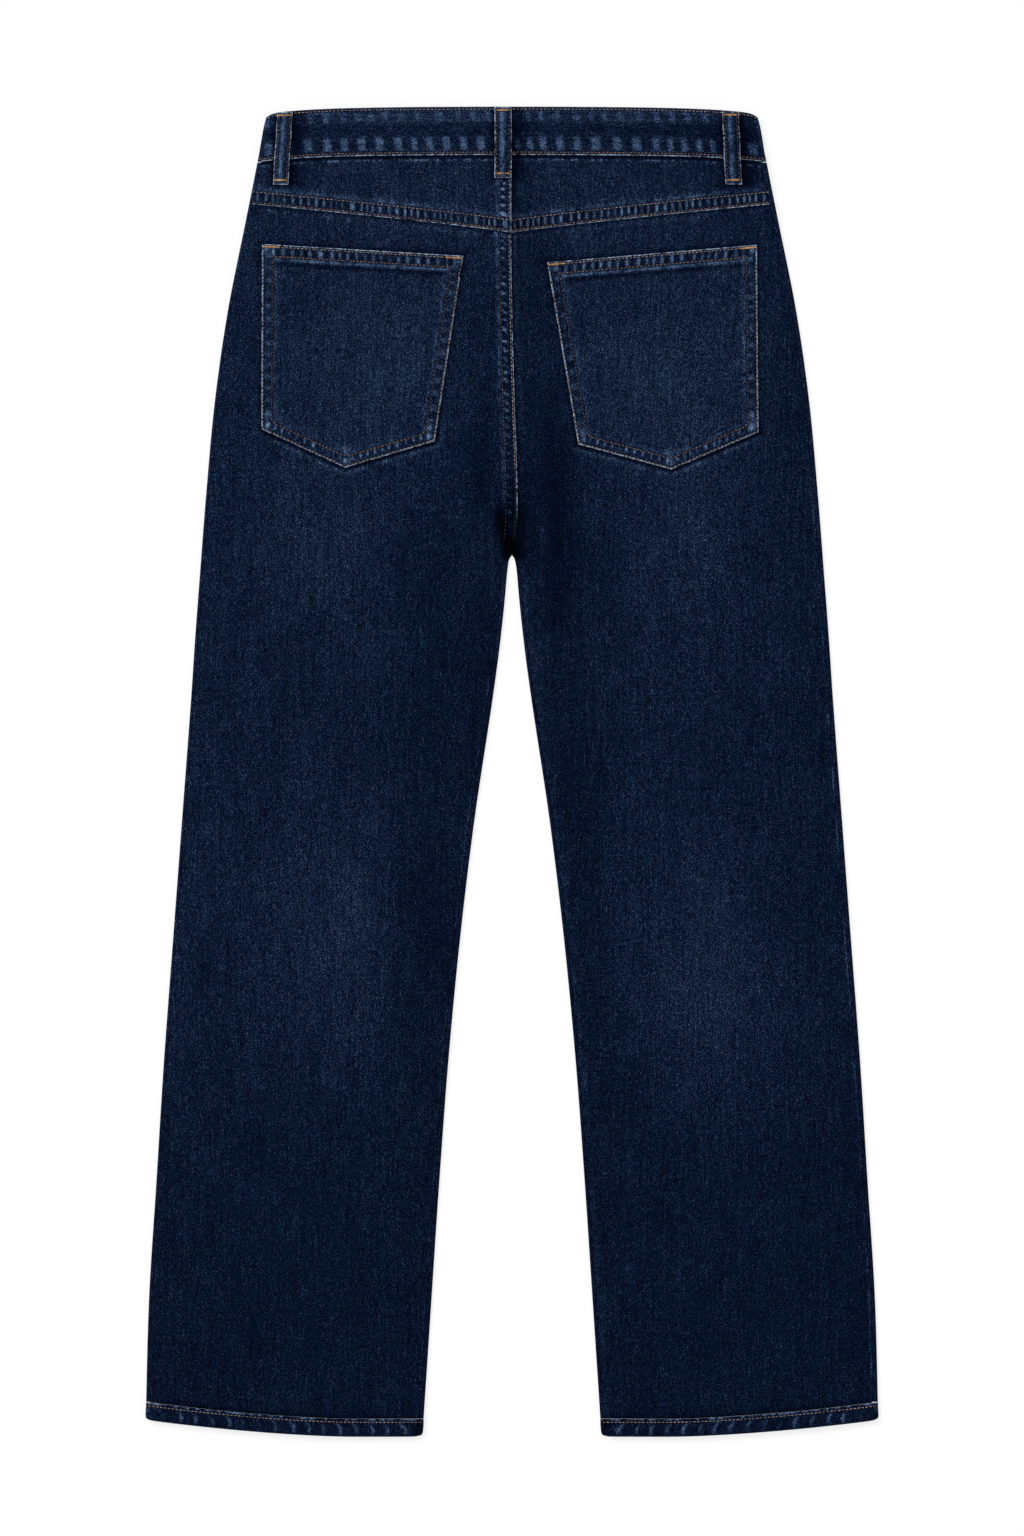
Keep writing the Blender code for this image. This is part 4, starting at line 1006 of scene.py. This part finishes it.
def legHem(side):
    rows = array([0, 0.4, 0.9, 1.5, 2.1, 2.7, 3.4, 4.4, 5.6, 6.8, 8, 9.2, 10.4, 11.5, 12.5, 13.3, 13.8,
                  hem["height"]])[:, None]
    fold, edge = inner(garment["length"]), outer(garment["length"])
    sideDown, foldDown = hemHigh(edge) + rows, hemHigh(fold) + rows
    radius = (edgeTop(sideDown) + hem["proud"]) / 2
    tight = radius - hem["wall"]
    start, end = inner(foldDown) + radius - 0.2, outer(sideDown) - radius + 0.2

    def turnedPart(sign, middle, angles):
        relief, fadeAndShade, wear = hemLook(rows, middle + 4 * sin(angles))
        out = radius + minimum(relief, 0.1)
        return (middle + sign * out * cos(angles), middle + sign * tight * cos(angles),
                radius + out * sin(angles), radius + tight * sin(angles), fadeAndShade, wear)

    def flatPart(share, isOver):
        away = lerp(start, end, share)
        relief, fadeAndShade, wear = hemLook(rows, away + (0 if isOver else 500))
        if isOver:
            level = top(sides[side] * away, hemHigh(away) + rows) + hem["proud"]
            return away, away, level + relief, level - hem["wall"], fadeAndShade, wear
        return away, away, -minimum(relief, 0), hem["wall"], fadeAndShade, wear

    parts = [
        turnedPart(-1, start, radians(linspace(84, -90, 12))),
        flatPart(linspace(0, 1, 100)[1:-1], False),
        turnedPart(1, end, radians(linspace(-90, 90, 13))),
        flatPart(linspace(1, 0.012, 190)[1:], True),
    ]
    away, awayIn, height, heightIn, fadeAndShade, wear = joinParts(parts, 2)
    toEnd = minimum(clip(away - fold, 0, None), clip(edge - away, 0, None))
    down = hemHigh(away) + rows - hem["cornerDrop"] * exp(-toEnd / 2.2) * ease(8, hem["height"], rows)
    across = sides[side] * away
    fadeAndShade += fadeAndShadeAt(across, down) + hem["fadeShift"]
    piece = clothPiece("hem_turnup_" + side, "legDenim", across, down, height, heightIn, fadeAndShade, wear,
                       acrossIn=sides[side] * awayIn)
    layCloth(piece, "hem_" + side)
    x = linspace(float(start[4, 0]) + 0.5, float(end[4, 0]) - 0.5, 180)
    d = hemHigh(x) + hem["row"]
    sewOver("tan", sides[side] * x, d, hem["proud"] - 0.05)
    sew("rust", sides[side] * x, d, 0 * x + 0.12)


# Front panels, turned round both edges of each leg, and the facings in the pocket mouths

front = {"scoopStart": 0.57, "scoopDepth": 98.0, "facingSetBack": 0.25, "fadeAndShade": 0.36, "riseGap": 0.04,
         "kneeFade": 0.14, "thighFade": 0.10, "lowShade": 0.10, "edgeFade": 0.05, "mouthWear": 0.8,
         "mouthRows": (2.0, 8.0), "riseRows": (1.8, 7.6), "flyRows": (38.0, 32.2), "flyEnd": 199.0}


def frontInner(side, down):
    radius = edgeRound(down)
    whole = math.pi * radius + inseamWrap(side)
    turned = whole * ease(garment["fork"] - 2, garment["fork"] + 10, down)
    reach = radius * sin(minimum(turned / radius, math.pi / 2))
    return inner(down) + front["riseGap"] / 2 * (1 - turned / whole) + reach, turned, whole


def foldPoint(edge, down, run, depth, outwards):  # run is the length past the flat front
    radius, low = edgeRound(down), under(outer(down), down)
    angle = clip(run / radius, 0, math.pi)
    past = clip(run - math.pi * radius, 0, None)
    away = edge + outwards * ((radius - depth) * sin(angle) - past)
    return away, low + radius - (radius - depth) * cos(angle)


def frontPoint(side, kind, value, down, depth):
    fold, turned, whole = frontInner(side, down)
    seam = outer(down) - edgeRound(down)
    if kind == "inseam":
        run = turned - value * whole
        away, height = foldPoint(fold, down, clip(run, 0, None), depth, -1)
        away = np.where(run <= 0, fold - run, away)
        height = np.where(run <= 0, under(sides[side] * away, down) + depth, height)
    elif kind == "outseam":
        run = value * (math.pi * edgeRound(down) + outseamWrap(side))
        away, height = foldPoint(seam, down, run, depth, 1)
    else:
        away = lerp(fold + whole - turned, seam, value)
        height = under(sides[side] * away, down) + depth
    return away, height


def turnShares(wrap, steps):
    roundLength = math.pi * garment["legTop"] / 2
    fold = roundLength / (roundLength + wrap)
    return np.append(fold * linspace(0, 1, steps), [lerp(fold, 1, 0.5), 1.0])


def frontTop(share):
    past = unit((share - front["scoopStart"]) / (1 - front["scoopStart"]))
    return front["scoopDepth"] * sin(math.pi / 2 * past)


def frontGrid(side, groups, rowsFor, depth):
    parts = []
    for kind, values in groups:
        share = {"inseam": 0 * values, "outseam": 0 * values + 1}.get(kind, values)
        down = rowsFor(share)
        away, height = frontPoint(side, kind, values, down, depth)
        parts.append((away, down, height))
    return joinParts(parts, 0)


def frontPiece(side, isFacing):
    scoop = front["scoopStart"]
    shares = concatenate([linspace(0.03, scoop, 34), linspace(scoop + 0.015, 0.985, 30)])
    outWrap = ("outseam", turnShares(outseamWrap(side), 9))
    if isFacing:
        groups = [("flat", shares[shares > scoop + 0.01]), outWrap]
        run = linspace(0, 1, 24)[:, None]
    else:
        groups = [("inseam", 1 - turnShares(inseamWrap(side), 9)[::-1]), ("flat", shares), outWrap]
        run = concatenate([linspace(0, 0.28, 60), linspace(0.285, 0.33, 26),
                           linspace(0.335, 1, 120)])[:, None]

    def rowsFor(share):
        high = bandLow(share * outer(band["height"]), False) + garment["gap"]
        if isFacing:
            return lerp(high, high + frontTop(share) - 0.05, run)
        low = hemHigh(lerp(inner(garment["length"]), outer(garment["length"]), share)) - garment["gap"]
        return lerp(high + frontTop(share), low, run)

    away, down, height = frontGrid(side, groups, rowsFor, 0.0)
    awayIn, _, heightIn = frontGrid(side, groups, rowsFor, garment["denim"])
    across = sides[side] * away
    if isFacing:
        height += front["facingSetBack"] * (height - under(across, down) < 0.2)
    isUp = height - under(across, down) > 0.6
    fadeAndShade = front["fadeAndShade"] + 0.06 * wander2(across, down, 30, 60, 111)
    fadeAndShade += 0.03 * wander2(across, down, 8, 17, 112)
    fadeAndShade += front["kneeFade"] * bell(down, 700, 120) * bell(away, 165, 60)
    fadeAndShade += front["thighFade"] * bell(down, 330, 150) * bell(away, 140, 70)
    fadeAndShade = fadeAndShade - front["lowShade"] * ease(600, 1040, down)
    fadeAndShade = np.where(isUp, fadeAndShadeAt(across, down) + front["edgeFade"], fadeAndShade)
    fadeAndShade += 0.20 * creaseDepth(frontCreases, across + 5, down - 5) * ~isUp
    mouth = down - (bandLow(away, False) + garment["gap"] + frontTop(away / outer(down)))
    onMouth = (away > scoop * outer(band["height"])) & ~isUp & (not isFacing)
    wear = brokenEdge(abs(mouth), away, front["mouthWear"], 113) * onMouth
    name, node = ("pocket_facing_", "front_pocket_facing_") if isFacing else ("front_leg_", "front_panel_")
    piece = clothPiece(name + side, "frontDenim", across, down, height, heightIn, fadeAndShade, wear,
                       acrossIn=sides[side] * awayIn)
    if isFacing:
        layCloth(piece, node + side)
    else:
        layCloth(piece, node + side)
        sewFront(side)


def sewFront(side):  # pocket mouths, fly and front rise, seen from below
    share = linspace(front["scoopStart"] + 0.01, 0.97, 90)
    for inset in front["mouthRows"]:
        down = bandLow(share * outer(band["height"]), False) + frontTop(share) + inset
        away = frontPoint(side, "flat", share, down, 0.0)[0] - inset * 0.6
        sewUnder("tan", sides[side] * away, down)
    if side == "right":
        return
    rise = np.arange(64, garment["fork"] - 10, 1.3)
    for inset in front["riseRows"]:
        sewUnder("tan", -inset + 0 * rise, rise)
    turn = linspace(0, math.pi / 2, 30)
    for reach in front["flyRows"]:
        straight = front["flyEnd"] - reach
        across = -concatenate([np.full(80, reach), reach * cos(turn)])
        down = concatenate([linspace(60, straight, 80), straight + reach * sin(turn)])
        sewUnder("tan", across, down)


# Waist button and fly zip

button = {
    "across": 8.0, "down": 39.0, "bump": 1.6, "bumpWidth": 28, "turns": 48, "sharp": 40,
    "profile": [  # radius and height, from the back of the tack to the middle of the face
        (0, 2.9), (3.4, 2.9), (3.4, 2.1), (7.4, 2.1), (8.2, 1.9), (8.5, 1.3), (8.5, 0.8), (8.2, 0.3),
        (7.6, 0.05), (6.9, 0.0), (6.4, 0.2), (6.0, 0.45), (2.4, 0.5), (1.8, 0.3), (0, 0.25)],
}
zipCut = {"width": 26.0, "top": 63.0, "end": 198.0, "tape": 0.8, "chainLift": 1.3}


def waistButton():
    turns = button["turns"]
    angles = linspace(0, 2 * math.pi, turns, endpoint=False)
    ring = array(button["profile"][1:-1], float)
    x, d = button["across"] + ring[:, :1] * cos(angles), button["down"] + ring[:, :1] * sin(angles)
    rims = facePoints(x, d, ring[:, 1:]).reshape(-1, 3)
    ends = [facePoints(button["across"], button["down"], button["profile"][k][1]) for k in (0, -1)]
    points = concatenate([rims, ends]).tolist()
    last, tip = (len(ring) - 1) * turns, len(ring) * turns
    faces = []
    for b in range(turns):
        after = (b + 1) % turns
        for a in range(0, last, turns):
            faces.append([a + turns + b, a + turns + after, a + after, a + b])
        faces.append([tip, b, after])
        faces.append([tip + 1, last + after, last + b])
    piece = addPiece("tack_button", points, faces, "brass", button["sharp"])
    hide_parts("waist_button")
    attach(piece, "root")


def flyZip():
    across = linspace(-zipCut["width"] / 2, zipCut["width"] / 2, 14)[None, :]
    down = linspace(zipCut["top"], zipCut["end"], 46)[:, None]
    base = under(across, down) + garment["denim"] + garment["gap"]
    piece = clothPiece("zip_tape_strip", "zipTape", across, down, base + zipCut["tape"], base, 0.3)
    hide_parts("fly_zip")
    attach(piece, "root")


for side in sides:
    frontPiece(side, False)
    frontPiece(side, True)
    backPanel(side)
    backYoke(side)
    legHem(side)
print("panels, yokes and hems laid")
waistband()
for side in sides:
    backPocket(side)
for loopRow in beltLoops:
    beltLoop(*loopRow)
waistButton()
flyZip()
print("waistband, pockets, loops, button and zip laid")


# Stitches, bartacks and zip teeth: one small shape set along lines by Geometry Nodes

alongInputs = ("Pitch", "Length", "Width", "Height", "Turn", "Uneven")
shapeSizes = {  # in the same order; the turns are in radians
    "stitch": (3.1, 2.5, 0.58, 0.46, 0.0, 0.16),
    "tack": (0.62, 1.7, 0.5, 0.46, math.pi / 2, 0.22),
    "tooth": (1.1, 4.6, 0.9, 0.9, math.pi / 2, 0.0),
}


def alongTree(name):  # sets a rounded shape at even steps along every line of a mesh
    tree = bpy.data.node_groups.new(name, "GeometryNodeTree")
    tree.interface.new_socket("Lines", in_out="INPUT", socket_type="NodeSocketGeometry")
    for label in alongInputs:
        tree.interface.new_socket(label, in_out="INPUT", socket_type="NodeSocketFloat")
    tree.interface.new_socket("Finish", in_out="INPUT", socket_type="NodeSocketMaterial")
    tree.interface.new_socket("Shapes", in_out="OUTPUT", socket_type="NodeSocketGeometry")
    entry = tree.nodes.new("NodeGroupInput").outputs
    curve = addNode(tree, "GeometryNodeMeshToCurve", {0: entry["Lines"]})
    even = {"Curve": curve, "Length": entry["Pitch"]}
    tangent = {"Vector": addNode(tree, "GeometryNodeInputTangent", {})}
    aim = addNode(tree, "FunctionNodeAlignRotationToVector", tangent, axis="X", pivot_axis="Z")
    spread = {"Seed": 5, 2: maths("MULTIPLY", entry["Uneven"], -1.0), 3: entry["Uneven"]}
    jitter = addNode(tree, "FunctionNodeRandomValue", spread, 1, data_type="FLOAT")
    slant = addNode(tree, "ShaderNodeCombineXYZ", {"Z": maths("ADD", entry["Turn"], jitter)})
    turn = {0: aim, 1: addNode(tree, "FunctionNodeEulerToRotation", {0: slant})}
    size = {"X": entry["Length"], "Y": entry["Width"], "Z": entry["Height"]}
    shapes = addNode(tree, "GeometryNodeInstanceOnPoints", {
        "Points": addNode(tree, "GeometryNodeResampleCurve", even, mode="LENGTH"),
        "Instance": addNode(tree, "GeometryNodeMeshUVSphere", {"Segments": 6, "Rings": 4, "Radius": 0.5}),
        "Rotation": addNode(tree, "FunctionNodeRotateRotation", turn, rotation_space="LOCAL"),
        "Scale": addNode(tree, "ShaderNodeCombineXYZ", size)})
    shapes = addNode(tree, "GeometryNodeRealizeInstances", {"Geometry": shapes})
    shapes = addNode(tree, "GeometryNodeSetMaterial", {"Geometry": shapes, "Material": entry["Finish"]})
    tree.links.new(shapes, tree.nodes.new("NodeGroupOutput").inputs[0])
    return tree


def setAlong(name, lines, shape, finish):
    starts = np.cumsum([0] + [len(line) for line in lines])
    edges = [(k, k + 1) for a, b in zip(starts, starts[1:]) for k in range(a, b - 1)]
    guide = bpy.data.meshes.new(name + "_line")
    guide.from_pydata(concatenate(lines).tolist(), edges, [])
    holder = addObject(name + "_line", guide)
    along = holder.modifiers.new("along", "NODES")
    along.node_group = alongLines
    sizes = shapeSizes[shape]
    values = dict(zip(alongInputs, [size * mm for size in sizes[:4]] + list(sizes[4:])))
    values["Finish"] = finishes[finish]
    for socket in alongLines.interface.items_tree:
        if socket.in_out == "INPUT" and socket.name in values:
            along[socket.identifier] = values[socket.name]
    bpy.context.view_layer.update()
    graph = bpy.context.evaluated_depsgraph_get()
    mesh = bpy.data.meshes.new_from_object(holder.evaluated_get(graph))
    bpy.data.objects.remove(holder)
    bpy.data.meshes.remove(guide)
    mesh.shade_smooth()
    piece = addObject(name, mesh)
    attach(piece, "root")


alongLines = alongTree("shapes_along_lines")
for key, label in (("tan", "tan"), ("rust", "rust"), ("dim", "dim"), ("shadedRust", "fork")):
    setAlong("topstitching_" + label, stitchRows[key], "stitch", key)
setAlong("bartacks", stitchRows["tack"], "tack", "tack")
chainDown = np.arange(zipCut["top"] + 2, zipCut["end"] - 2, 1.0)
chainHeight = under(0 * chainDown, chainDown) + garment["denim"] + zipCut["chainLift"]
setAlong("zip_teeth", [facePoints(0, chainDown, chainHeight)], "tooth", "brass")
print("stitches sewn")


# Floor and light

def floorPlane():
    far, z = studio["floorHalf"], -studio["floorDrop"] * mm
    made = bpy.data.materials.new("studio_white")
    made.use_nodes = True
    shader = made.node_tree.nodes["Principled BSDF"]
    shader.inputs["Base Color"].default_value = (studio["floor"],) * 3 + (1,)
    shader.inputs["Emission Color"].default_value = (1, 1, 1, 1)
    shader.inputs["Emission Strength"].default_value = studio["floorGlow"]
    shader.inputs["Roughness"].default_value = 0.9
    shader.inputs["Specular IOR Level"].default_value = 0.0
    mesh = bpy.data.meshes.new("studio_floor")
    mesh.from_pydata([(-far, -far, z), (far, -far, z), (far, far, z), (-far, far, z)], [], [(0, 1, 2, 3)])
    mesh.materials.append(made)
    floor = addObject("studio_floor", mesh)


def keyLight():
    light = bpy.data.lights.new("key", "SUN")
    light.energy, light.angle = studio["key"], radians(studio["keySoftness"])
    lamp = addObject("key", light)
    lamp.location = studio["keyFrom"]
    lamp.rotation_euler = (-lamp.location).to_track_quat("-Z", "Y").to_euler()


def sky():
    world = bpy.data.worlds.new("soft_sky")
    world.use_nodes = True
    world.node_tree.nodes["Background"].inputs["Color"].default_value = (1, 1, 1, 1)
    world.node_tree.nodes["Background"].inputs["Strength"].default_value = studio["sky"]
    bpy.context.scene.world = world


floorPlane()
keyLight()
sky()
print("studio set")
